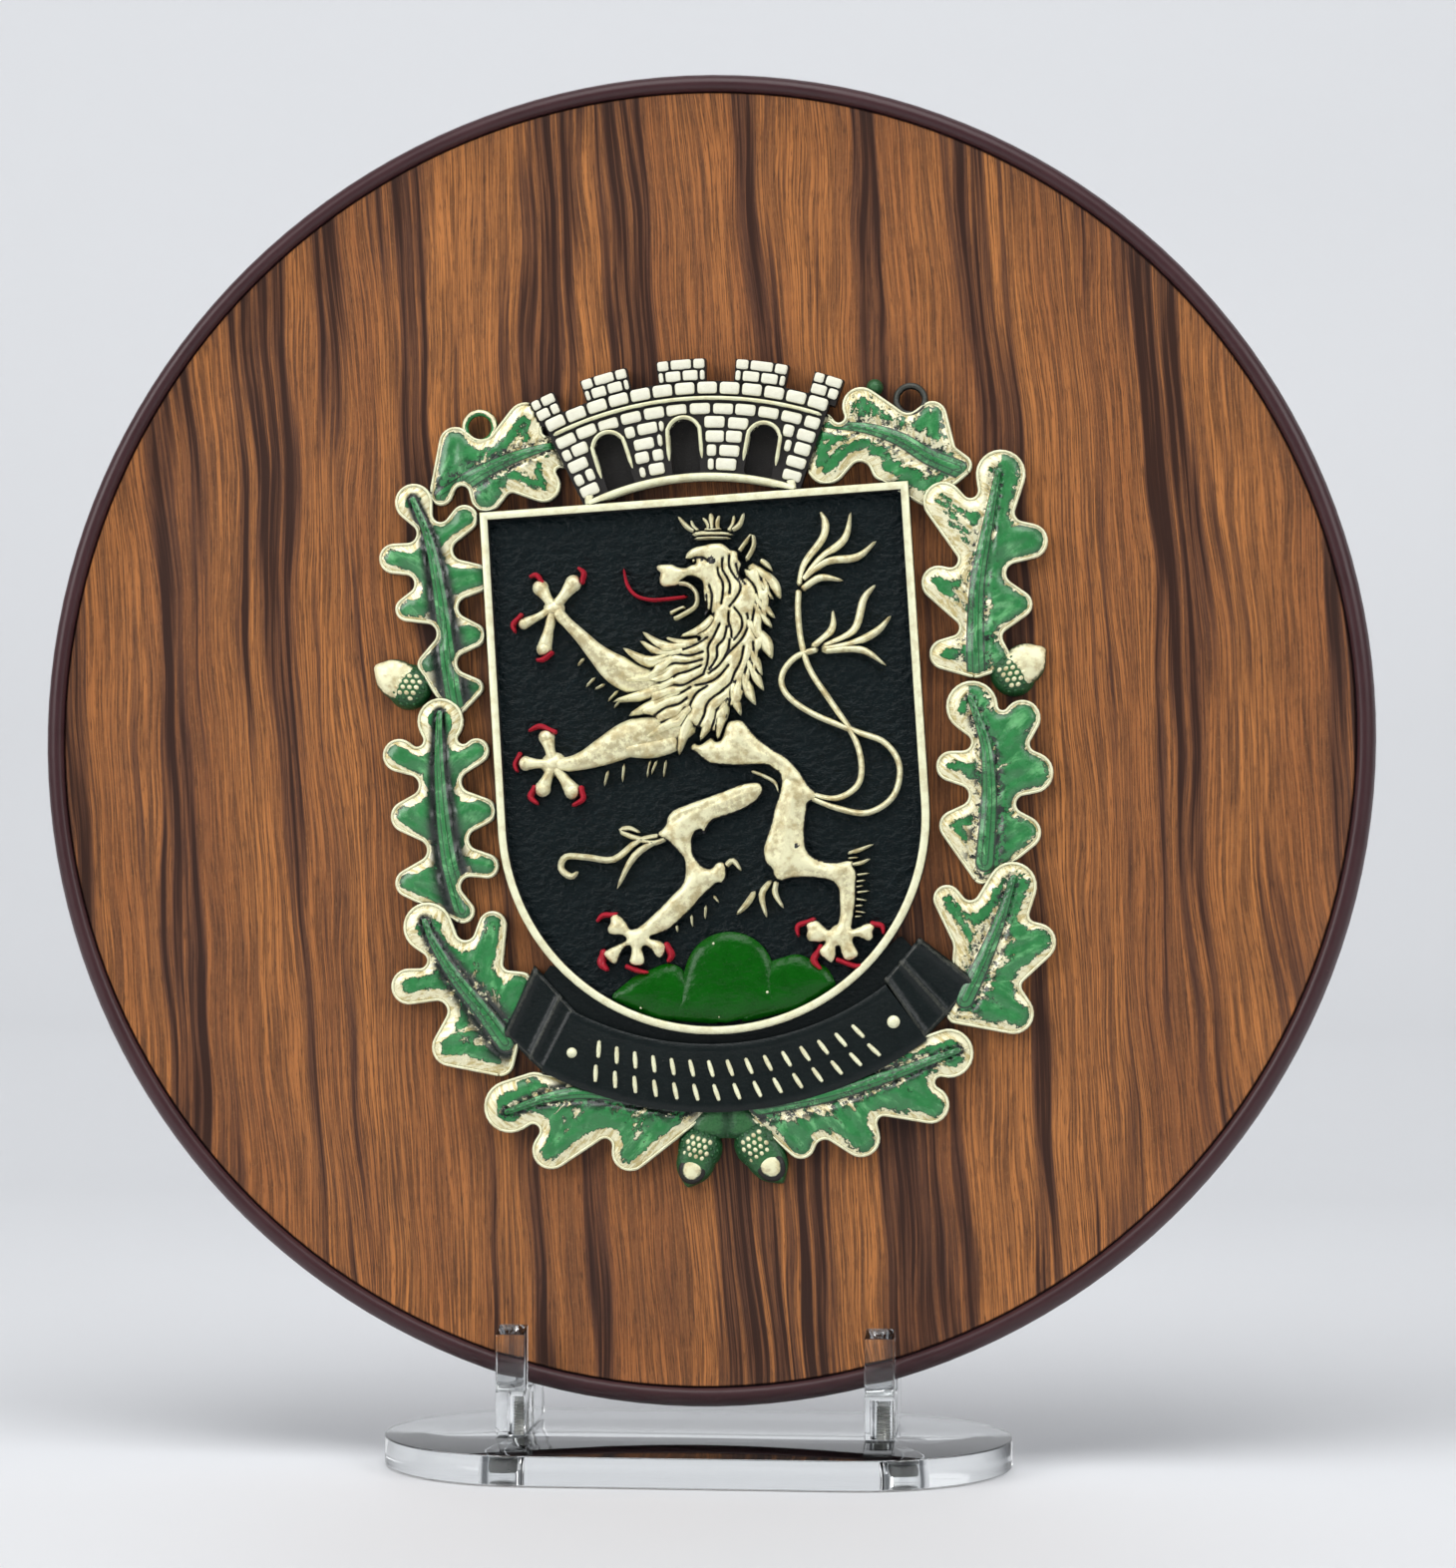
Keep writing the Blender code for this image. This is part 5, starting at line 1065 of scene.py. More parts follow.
def crown_forms():
    """The mural crown: wall, bands, window frames with dark sheets of painted shade behind them, bricks,
    coping and merlons.
    """
    half = CROWN_HALF_ANGLE
    wall = arc(CROWN_CENTRE, WALL_TOP, 90 - half, 90 + half, 40)
    wall += arc(CROWN_CENTRE, WALL_FOOT, 90 + half, 90 - half, 40)
    holes = [window_outline(angle, top, 0) for angle, top in WINDOWS]

    forms = [plate(wall, 0.8, flat_at(CROWN_WALL), 0.0, JOINTS, holes, relax=1)]
    for radius, width, stretch in ((59.0, 0.85, 0.3), (75.55, 0.5, 0.3)):
        path = [(*polar(CROWN_CENTRE, radius, -half - stretch + (half + stretch) * i / 8), width)
                for i in range(17)]
        forms.append(ridge(path, 1.0, BAND, GILT, 2, 8, 0.45))
    for angle, top in WINDOWS:
        path = [(x, y, 0.48) for x, y in window_outline(angle, top, 0.45, 8)]
        forms.append(ridge(path, 1.0, BAND, GILT, 2, 8, 0.5))
        # A dark sheet behind each window stands for the shade inside it
        window_shade_sheet = window_outline(angle, top, 0.2)
        forms.append(plate(window_shade_sheet, 1.2, flat_at(0.3), 0.0, JOINTS, relax=1))
    for x in (-21.9, 20.8):
        forms.append(ridge([(x, 48.8, 1.2), (x, 52.6, 1.2)], 0.5, BAND - 0.2, GILT, 4, 8, 0.5))
    rng = Random(5)
    for course in range(COURSES):
        inner = COURSE_FOOT + COURSE_PITCH * course
        pitch = BRICK_LENGTH / inner * 180 / pi
        joint = BRICK_JOINT / inner * 180 / pi
        start = -half + joint - (0.5 * pitch if course % 2 else 0.0)
        while start < half - joint:
            low, high = max(start, -half + joint), min(start + pitch - joint, half - joint)
            span = clear_of_windows(low, high, inner)
            if span:
                foot = inner + rng.uniform(-0.1, 0.1)
                top = inner + COURSE_HEIGHT + rng.uniform(-0.15, 0.1)
                front = BRICK + rng.uniform(-0.15, 0.1)
                forms.append(block(foot, top, *span, 2.0, front, MASONRY, 0.62))
            start += pitch * rng.uniform(0.94, 1.06)
    coping = 2 * half / COPING_BLOCKS
    for i in range(COPING_BLOCKS):
        start = -half + i * coping + 0.22
        foot = COPING_FOOT + rng.uniform(-0.05, 0.1)
        forms.append(block(foot, COPING_TOP, start, start + coping - 0.44, 2.0, BRICK + 0.2,
                           MASONRY, 0.68))
    for angle, reach in MERLONS:
        forms.append(block(MERLON_FOOT, MERLON_TOP, angle - reach, angle + reach, 0.0, CROWN_WALL,
                           JOINTS, 0))
        wide = reach > 3
        for low, high, shares in ((79.4, 81.55, (0.14, 0.36, 0.36, 0.14) if wide else (0.6, 0.4)),
                                  (81.85, 83.9, (0.27, 0.46, 0.27) if wide else (0.4, 0.6))):
            start = angle - reach
            for share in shares:
                end = start + share * 2 * reach
                forms.append(block(low, high, start + 0.16, end - 0.16, 2.0, BRICK, MASONRY, 0.5))
                start = end
    return forms


def ribbon_band(inner, outer, start, end, level):
    """The ribbon's front: a slice of a ring, slightly hollow, with raised edges."""
    columns, rows = 96, 16
    bm = new_form()
    bmesh.ops.create_grid(bm, x_segments=columns, y_segments=rows, size=0.5)
    crest = bm.verts.layers.float["crest"]
    for v in bm.verts:
        along, across = v.co.x + 0.5, v.co.y + 0.5
        edge = min(across, 1 - across) * (outer - inner)
        lip = np.exp(-((edge - 0.45) / 0.35) ** 2)
        x, y = polar(RIBBON_CENTRE, inner + across * (outer - inner), start + along * (end - start))
        v.co = (x, y, level + 0.32 * lip - 0.25 * sin(pi * across) - 0.5 * np.exp(-edge / 0.12))
        # The crest guide marks the raised edges, where the black takes a painted highlight
        v[crest] = float(lip)
    close_below(bm, 0.2)
    return painted(bm, BLACK)


def folded_tail(corners, creases, level):
    """A folded end of the ribbon: a four-cornered sheet with soft creases across it."""
    a, b, c, d = (Vector(p) for p in corners)
    bm = new_form()
    bmesh.ops.create_grid(bm, x_segments=30, y_segments=24, size=0.5)
    crest = bm.verts.layers.float["crest"]
    for v in bm.verts:
        s, t = v.co.x + 0.5, v.co.y + 0.5
        place = a.lerp(b, s).lerp(d.lerp(c, s), t)
        fold = max(np.exp(-((s - where) / 0.06) ** 2) for where in creases)
        edge = min(s, 1 - s, t, 1 - t)
        v.co = (*place, level + 0.7 * fold - 0.5 * sin(pi * s) - 0.6 * np.exp(-edge / 0.02))
        # The crest guide marks the creases and the rolled edges, where the black takes a painted highlight
        v[crest] = float(max(fold, np.exp(-((min(t, 1 - t) - 0.04) / 0.03) ** 2)))
    close_below(bm, 0.4)
    return painted(bm, BLACK)


def ribbon_forms():
    forms = [ribbon_band(RIBBON_INNER, RIBBON_OUTER, -149.0, -213.2, RIBBON)]
    web = arc(RIBBON_CENTRE, 63.4, -48, -130, 30) + arc(RIBBON_CENTRE, 56, -130, -48, 30)
    forms.append(plate(web, 1.5, flat_at(1.7), 0.0, BLACK, relax=1))
    forms.append(folded_tail([(-39.5, -46.3), (-31.0, -57), (-38.4, -69.4), (-47, -60)],
                             (0.08, 0.62, 0.95), 3.2))
    forms.append(folded_tail([(41.5, -45.6), (33.4, -54), (40.8, -67), (53, -55.6)],
                             (0.05, 0.55, 0.95), 3.2))
    for row, radius in enumerate((66.9, 71.9)):
        for i in range(15):
            angle = -23.6 + 3.42 * i + 0.9 * row
            stroke = [(*polar(RIBBON_CENTRE, radius + out, 180 - angle - slant), wide)
                      for out, slant, wide in ((-1.95, -0.5, 0.35), (0, 0, 0.52), (1.95, 0.5, 0.35))]
            forms.append(ridge(stroke, RIBBON - 0.6, RIBBON + 0.45, GILT, 5, 8))
    forms.append(boss(-32.5, -65.0, 1.3, 1.3, 3.2, RIBBON + 0.6, GILT, 0, 8))
    forms.append(boss(35.0, -62.8, 1.6, 1.6, 3.2, RIBBON + 0.6, GILT, 0, 8))
    return forms


def eyelet(x, y, hole, outer, finish):
    """A round hanging eye, spun from its section."""
    bm = new_form()
    bmesh.ops.create_circle(bm, segments=12, radius=1,
                            matrix=Matrix.Translation(((hole + outer) / (outer - hole), 0, 0))
                            @ Matrix.Rotation(pi / 2, 4, "X"))
    bmesh.ops.spin(bm, geom=bm.verts[:] + bm.edges[:], cent=(0, 0, 0), axis=(0, 0, 1), angle=tau,
                   steps=36, use_merge=True)
    half = (outer - hole) / 2
    bm.transform(Matrix.Translation((x, y, 1.6)) @ Matrix.Diagonal((half, half, 1.3, 1)))
    set_guides(bm, bm.verts, crest=[max(v.co.z - 1.6, 0) for v in bm.verts], rib=9,
               rim=[outer - hypot(v.co.x - x, v.co.y - y) for v in bm.verts])
    return painted(bm, finish)


def casting_forms():
    forms = [shield(), hammered_field()]
    for index, data in enumerate(LEAVES.values()):
        forms += leaf(index, *data)
    for data in ACORNS:
        forms += acorn(*data)
    stem = belt([(-6, -82, 2.5), (3, -82.5, 2.5), (-0.5, -77, 2.5)], 15)

    def round_top(xy, distance):
        fold = bump(xy[:, 0] + 1.0 - 0.12 * (xy[:, 1] + 82), 0, 0.9)
        crest = np.minimum(distance, 1) - 0.6 * fold
        return 3.3 - 1.3 * np.exp(-distance) - 0.9 * fold, {"crest": crest}

    forms.append(plate(stem, 0.7, round_top, 0.25, CUP))
    forms += [eyelet(-44.4, 68.0, 2.4, 3.9, LEAF), eyelet(46.9, 66.9, 2.3, 3.7, BLACK)]
    forms.append(boss(39.5, 70.3, 1.8, 1.8, 0.4, 3.2, CUP))
    forms += [mount_top(*data) for data in MOUNT_TOPS]
    forms += [boss(x, y, size, size, ROOT, top, GILT, 0, 6) for x, y, size, top in MOUNT_SPECKS]
    return forms + crown_forms() + ribbon_forms() + lion_forms()


# Building objects


def finish_piece(bm, name, materials, place, replaced, sharp_deg=35):
    """Make the piece's object at the origin, with its place in its mesh."""
    bm.transform(place)
    bmesh.ops.recalc_face_normals(bm, faces=bm.faces)
    mesh = bpy.data.meshes.new(name)
    bm.to_mesh(mesh)
    bm.free()
    for made in materials:
        mesh.materials.append(made)
    mesh.shade_smooth()
    mesh.set_sharp_from_angle(angle=radians(sharp_deg))
    piece = bpy.data.objects.new(name, mesh)
    bpy.context.scene.collection.objects.link(piece)
    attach(piece, "root")
    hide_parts(replaced)
    return piece


def turned(profile, steps):
    """Spin a profile of (radius, z) that starts and ends on the axis."""
    bm = bmesh.new()
    line = [bm.verts.new((radius, 0, z)) for radius, z in profile]
    edges = [bm.edges.new(pair) for pair in zip(line, line[1:])]
    bmesh.ops.spin(bm, geom=line + edges, cent=(0, 0, 0), axis=(0, 0, 1), angle=tau, steps=steps,
                   use_merge=True)
    bmesh.ops.remove_doubles(bm, verts=bm.verts, dist=1e-4)
    return bm


def drilled(bm, bores):
    """Cut upright bores, given as turned profiles, through a clear piece."""
    body = bpy.data.objects.new("body", bpy.data.meshes.new("body"))
    bm.to_mesh(body.data)
    cutters = []
    for x, y, profile in bores:
        cutter = turned(profile, 40)
        cutter.transform(Matrix.Translation((x, y, 0)))
        bmesh.ops.recalc_face_normals(cutter, faces=cutter.faces)
        tool = bpy.data.objects.new("bore", bpy.data.meshes.new("bore"))
        cutter.to_mesh(tool.data)
        cutter.free()
        cutters.append(tool)
        cut = body.modifiers.new("Bore", "BOOLEAN")
        cut.operation, cut.solver, cut.object = "DIFFERENCE", "EXACT", tool
    for obj in (body, *cutters):
        bpy.context.scene.collection.objects.link(obj)
    bm.clear()
    bm.from_object(body, bpy.context.evaluated_depsgraph_get())
    for obj in (body, *cutters):
        bpy.data.objects.remove(obj)
    return bm


# Material nodes


def node(tree, kind, inputs=None, **settings):
    """Add a node, with its sockets given as values or as other nodes' sockets."""
    made = tree.nodes.new(kind)
    for name, value in settings.items():
        setattr(made, name, value)
    for name, value in (inputs or {}).items():
        if isinstance(value, bpy.types.NodeSocket):
            tree.links.new(value, made.inputs[name])
        else:
            made.inputs[name].default_value = value
    return made


def maths(tree, operation, first, second=0.0):
    made = node(tree, "ShaderNodeMath", {0: first, 1: second}, operation=operation)
    return made.outputs[0]


def times(tree, first, second):
    return maths(tree, "MULTIPLY", first, second)


def plus(tree, first, second):
    return maths(tree, "ADD", first, second)


def less(tree, first, second):
    return maths(tree, "SUBTRACT", first, second)


def greater(tree, first, second):
    return maths(tree, "MAXIMUM", first, second)


def spread(tree, value, low, width):
    """Bring a value between 0 and 1 to a range that starts at low."""
    return plus(tree, low, times(tree, value, width))


def step_up(tree, value, low, high):
    """0 below low and 1 above high, smoothly between; falling where low is the greater."""
    made = node(tree, "ShaderNodeMapRange", {"Value": value, "From Min": low, "From Max": high},
                interpolation_type="SMOOTHSTEP")
    return made.outputs["Result"]


def between(tree, value, rise, fall):
    """1 where a value lies between its rise and its fall, each given as where it starts and ends."""
    return times(tree, step_up(tree, value, *rise), step_up(tree, value, *fall))


def mixed(tree, mask, first, second):
    made = node(tree, "ShaderNodeMix", {0: mask, 6: first, 7: second}, data_type="RGBA")
    return made.outputs[2]


def painted_over(tree, base, mask, share, top):
    """The base with another colour over it where the mask is, up to a share."""
    return mixed(tree, times(tree, mask, share), base, top)


def noise(tree, vector, scale, detail=4.0, roughness=0.55):
    made = node(tree, "ShaderNodeTexNoise", {"Vector": vector, "Scale": scale, "Detail": detail,
                                             "Roughness": roughness})
    return made.outputs["Fac"]


def stretched(tree, vector, factors):
    made = node(tree, "ShaderNodeVectorMath", {0: vector, 1: factors}, operation="MULTIPLY")
    return made.outputs[0]


def grained(tree, vector, factors, detail=4.0, roughness=0.55):
    """Noise drawn out along the axes with small factors."""
    return noise(tree, stretched(tree, vector, factors), 1.0, detail, roughness)


def attribute(tree, name, output="Fac"):
    return node(tree, "ShaderNodeAttribute", attribute_name=name).outputs[output]


def colour(value, scale=1.0):
    return tuple(min(c * scale, 1.0) for c in value) + (1.0,)


def board_position(tree):
    """The place on the plaque in millimetres: x and y across its face."""
    place = node(tree, "ShaderNodeTexCoord").outputs["Object"]
    local = node(tree, "ShaderNodeMapping", {"Vector": place, "Location": BOARD_CENTRE,
                                             "Rotation": PLAQUE_TURN.to_euler()}, vector_type="TEXTURE")
    return stretched(tree, local.outputs[0], (1000, 1000, 1000))


def object_position(tree):
    """The place in the part's frame, in millimetres."""
    place = node(tree, "ShaderNodeTexCoord").outputs["Object"]
    return stretched(tree, place, (1000, 1000, 1000))


def new_group(name, inputs, outputs):
    """An empty shader node group with named sockets."""
    tree = bpy.data.node_groups.new(name, "ShaderNodeTree")
    for socket, kind, default in inputs:
        made = tree.interface.new_socket(socket, in_out="INPUT", socket_type=kind)
        if default is not None:
            made.default_value = default
    for socket, kind in outputs:
        tree.interface.new_socket(socket, in_out="OUTPUT", socket_type=kind)
    return tree, tree.nodes.new("NodeGroupInput").outputs, tree.nodes.new("NodeGroupOutput").inputs


def placed(tree, group, **inputs):
    """Place a node group in a material and return its outputs."""
    named = {name.capitalize(): value for name, value in inputs.items()}
    return node(tree, "ShaderNodeGroup", named, node_tree=group).outputs


def hand_paint_group():
    """Brush marks, thin spots and pooled tone of hand-applied enamel."""
    tree, given, out = new_group(
        "Hand paint",
        [("Place", "NodeSocketVector", None), ("Size", "NodeSocketFloat", 1.0)],
        [("Tone", "NodeSocketFloat"), ("Speckle", "NodeSocketFloat"), ("Height", "NodeSocketFloat")])
    broad = noise(tree, given["Place"], 0.16, 3)
    tree.links.new(given["Size"], broad.node.inputs["Scale"])
    fine = noise(tree, given["Place"], 1.7, 5, 0.65)
    grit = noise(tree, given["Place"], 4.5, 3, 0.7)
    tree.links.new(broad, out["Tone"])
    tree.links.new(step_up(tree, grit, 0.62, 0.72), out["Speckle"])
    tree.links.new(plus(tree, times(tree, fine, 0.7), times(tree, grit, 0.3)), out["Height"])
    return tree


def recess_wash_group():
    """Dark wash that stays low on a form: 1 in the recesses, ragged upwards."""
    tree, given, out = new_group(
        "Recess wash",
        [("Place", "NodeSocketVector", None), ("Crest", "NodeSocketFloat", 1.0),
         ("Reach", "NodeSocketFloat", 0.4)],
        [("Wash", "NodeSocketFloat")])
    ragged = times(tree, less(tree, noise(tree, given["Place"], 1.1, 4), 0.5), 0.5)
    level = plus(tree, less(tree, given["Crest"], given["Reach"]), ragged)
    tree.links.new(step_up(tree, level, 0.12, -0.12), out["Wash"])
    return tree


def surface(name, specular=0.5, coat=0.0, coat_roughness=0.1):
    """A new material, returned with its node tree and its Principled shader."""
    made = bpy.data.materials.new(name)
    made.use_nodes = True
    tree = made.node_tree
    shader = tree.nodes["Principled BSDF"]
    shader.inputs["Specular IOR Level"].default_value = specular
    shader.inputs["Coat Weight"].default_value = coat
    shader.inputs["Coat Roughness"].default_value = coat_roughness
    return made, tree, shader


def connect(tree, shader, **sockets):
    """Link or set the shader's sockets by name, with underscores for blanks."""
    for name, value in sockets.items():
        socket = shader.inputs[name.replace("_", " ")]
        if isinstance(value, bpy.types.NodeSocket):
            tree.links.new(value, socket)
        else:
            socket.default_value = value


def bumped(tree, height, depth_mm):
    """A normal from a height, whose full range is so many millimetres deep."""
    inputs = {"Height": height, "Distance": depth_mm * MM, "Strength": 1.0}
    return node(tree, "ShaderNodeBump", inputs).outputs["Normal"]


def wash_and_crevice_shade(tree, reach_mm, low, high):
    """1 where the forms shade each other, 0 in the open: painted shade, which also stands for dark wash."""
    open_air = node(tree, "ShaderNodeAmbientOcclusion", {"Distance": reach_mm * MM}, samples=6,
                    only_local=True).outputs["AO"]
    return step_up(tree, open_air, high, low)


def leaf_material(paint, groups):
    """Green leaves with gilded rims, ragged gold patches and dark patina along the midrib, with painted
    highlights and painted shade.
    """
    made, tree, shader = surface("leaf_paint", coat=0.6, coat_roughness=0.2)
    place = board_position(tree)
    hand = placed(tree, groups["paint"], place=place, size=0.35)
    flow = attribute(tree, "flow", "Vector")
    rim, rib, crest = attribute(tree, "rim"), attribute(tree, "rib"), attribute(tree, "crest")
    streaks = grained(tree, flow, (0.14, 0.42, 1.0), 6, 0.62)
    flecks = noise(tree, place, 0.8, 6, 0.7)
    ragged = plus(tree, times(tree, streaks, 0.6), times(tree, flecks, 0.4))
    frayed = times(tree, less(tree, flecks, 0.5), 1.1)
    edge = plus(tree, rim, frayed)
    gilded_rim = between(tree, edge, (1.0, 0.85), (0.12, 0.26))
    level = plus(tree, ragged, attribute(tree, "gilt"))
    patches = times(tree, step_up(tree, level, 1.0, 1.015), step_up(tree, rib, 1.45, 1.65))
    fringe = between(tree, level, (0.955, 0.985), (1.012, 0.998))
    gold_mask = greater(tree, gilded_rim, patches)
    near_rib = between(tree, rib, (1.3, 1.7), (5.0, 2.4))
    dirt = noise(tree, place, 0.6, 6, 0.74)
    dirt_level = plus(tree, dirt, attribute(tree, "patina"))
    dirt_mask = times(tree, step_up(tree, dirt_level, 0.92, 0.96), near_rib)
    # Painted shade: dark lines in the midrib's grooves and along its foot
    grooves = between(tree, rib, (0.38, 0.55), (0.74, 0.58))
    rib_foot_shade = between(tree, rib, (1.25, 1.5), (1.8, 1.55))
    lines = greater(tree, times(tree, grooves, 0.75), times(tree, rib_foot_shade, 0.95))
    # Dark paint and painted shade on the leaves' walls, outside the gilded rim
    dark_and_shaded_walls = step_up(tree, edge, 0.14, 0.02)
    green = mixed(tree, hand["Tone"], colour(paint.leaf_green, 0.55), colour(paint.leaf_green, 1.4))
    # Painted highlight: lighter green streaks along the flow, for the gloss of the paint
    streak_highlights = step_up(tree, streaks, 0.50, 0.66)
    green = painted_over(tree, green, streak_highlights, 0.75, (0.2, 0.58, 0.23, 1))
    # Painted shade: darker green where the lobes fall away towards their rims
    green = painted_over(tree, green, step_up(tree, crest, 0.6, 0.3), 0.7,
                         colour(paint.leaf_green, 0.2))
    # Painted light on the gold: bright streaks as painted highlights over khaki painted shade
    bright = grained(tree, flow, (0.35, 1.2, 1.0), 6, 0.7)
    gold = mixed(tree, step_up(tree, bright, 0.39, 0.55), (0.64, 0.52, 0.22, 1), (1.0, 0.95, 0.64, 1))
    gold = painted_over(tree, gold, step_up(tree, flecks, 0.66, 0.7), 0.8, (0.1, 0.07, 0.03, 1))
    green = painted_over(tree, green, fringe, 0.85, colour(paint.leaf_green, 0.1))
    base = mixed(tree, gold_mask, green, gold)
    # Near-black green for the patina and for the painted shade in the lines, on the walls and in the
    # crevices
    dark = times(tree, greater(tree, dirt_mask, lines), less(tree, 1.0, gilded_rim))
    dark = greater(tree, greater(tree, dark, dark_and_shaded_walls), wash_and_crevice_shade(tree, 0.8, 0.36, 0.6))
    base = mixed(tree, dark, base, (0.003, 0.010, 0.005, 1))
    shine = times(tree, gold_mask, less(tree, 1.0, dark))
    relief = plus(tree, times(tree, hand["Height"], 0.5), times(tree, gold_mask, 0.3))
    connect(tree, shader, Base_Color=base, Metallic=times(tree, shine, 0.25),
            Roughness=spread(tree, hand["Tone"], 0.16, 0.22), Normal=bumped(tree, relief, 0.3))
    return made


def gold_material(name, paint, groups, reach, metallic, wash_and_shade_colour, tint=1.0, wear=1.0):
    """Pale gold enamel with brown tone and a dark wash low on each form, with khaki painted shade and
    painted shade in the crevices.
    """
    made, tree, shader = surface(name, coat=0.2)
    place = board_position(tree)
    hand = placed(tree, groups["paint"], place=place, size=0.45)
    crest = attribute(tree, "crest")
    wash = placed(tree, groups["wash"], place=place, crest=crest, reach=reach)["Wash"]
    patch = noise(tree, place, 0.4, 5, 0.6)
    wear_and_sheen = colour((paint.gold[0] * 0.7, paint.gold[1] * 0.64, paint.gold[2] * 0.5))
    bright = colour(paint.gold, 1.1 * tint)
    base = painted_over(tree, bright, step_up(tree, patch, 0.42, 0.68), wear, wear_and_sheen)
    blotches = noise(tree, place, 0.5, 5, 0.7)
    # Painted shade: khaki tone in the limbs' hollows and on the forelegs' tops, where the gilt guide is
    khaki_shade = times(tree, attribute(tree, "gilt"), step_up(tree, blotches, 0.42, 0.58))
    base = painted_over(tree, base, khaki_shade, 0.75, (0.5, 0.42, 0.22, 1))
    base = painted_over(tree, base, hand["Speckle"], 0.3, (0.2, 0.14, 0.07, 1))
    # Painted shade in the crevices joins the dark wash in one dark colour
    wash = greater(tree, wash, wash_and_crevice_shade(tree, 1.0, 0.52, 0.7))
    base = mixed(tree, wash, base, wash_and_shade_colour)
    shine = times(tree, less(tree, 1.0, wash), metallic)
    connect(tree, shader, Base_Color=base, Metallic=shine, Roughness=spread(tree, patch, 0.2, 0.25),
            Normal=bumped(tree, hand["Height"], 0.2))
    return made


def enamel_material(name, value, groups, roughness, grain_scale, grain_depth, crest_highlight=None,
                    coat=0.1, specular=0.4, speckle=0.12):
    """One-colour enamel with brush marks, and a painted highlight in a lighter tone on the raised parts when
    a crest colour is given.
    """
    made, tree, shader = surface(name, specular=specular, coat=coat, coat_roughness=0.12)
    place = board_position(tree)
    hand = placed(tree, groups["paint"], place=place, size=0.3)
    base = mixed(tree, hand["Tone"], colour(value, 0.7), colour(value, 1.35))
    if crest_highlight:
        # Painted highlight: a lighter tone on the raised parts, ragged by the brush marks
        crest = attribute(tree, "crest")
        ragged = times(tree, less(tree, hand["Height"], 0.5), 1.2)
        wear_and_sheen = step_up(tree, plus(tree, crest, ragged), 0.72, 1.05)
        base = painted_over(tree, base, wear_and_sheen, crest_highlight[1], crest_highlight[0])
    base = painted_over(tree, base, hand["Speckle"], speckle, (0.5, 0.48, 0.4, 1))
    grain = noise(tree, stretched(tree, place, (0.8, 1.2, 1)), grain_scale, 3, 0.55)
    connect(tree, shader, Base_Color=base,
            Roughness=spread(tree, hand["Tone"], roughness, 0.12),
            Normal=bumped(tree, grain, grain_depth))
    return made


def masonry_material(paint, groups):
    """Cream bricks, rubbed on top and darker down their sides, with painted shade in the crevices between
    them.
    """
    made, tree, shader = surface("masonry_paint", coat=0.15)
    place = board_position(tree)
    hand = placed(tree, groups["paint"], place=place, size=0.6)
    crest = attribute(tree, "crest")
    wash = placed(tree, groups["wash"], place=place, crest=crest, reach=0.5)["Wash"]
    base = mixed(tree, hand["Tone"], colour(paint.cream, 0.82), colour(paint.cream, 1.1))
    base = painted_over(tree, base, hand["Speckle"], 0.4, (0.2, 0.14, 0.07, 1))
    # Painted shade where the bricks meet, joined to the dark wash on their sides
    wash = greater(tree, wash, wash_and_crevice_shade(tree, 0.7, 0.45, 0.75))
    base = mixed(tree, wash, base, (0.016, 0.012, 0.009, 1))
    connect(tree, shader, Base_Color=base, Roughness=spread(tree, hand["Tone"], 0.34, 0.2),
            Normal=bumped(tree, hand["Height"], 0.12))
    return made


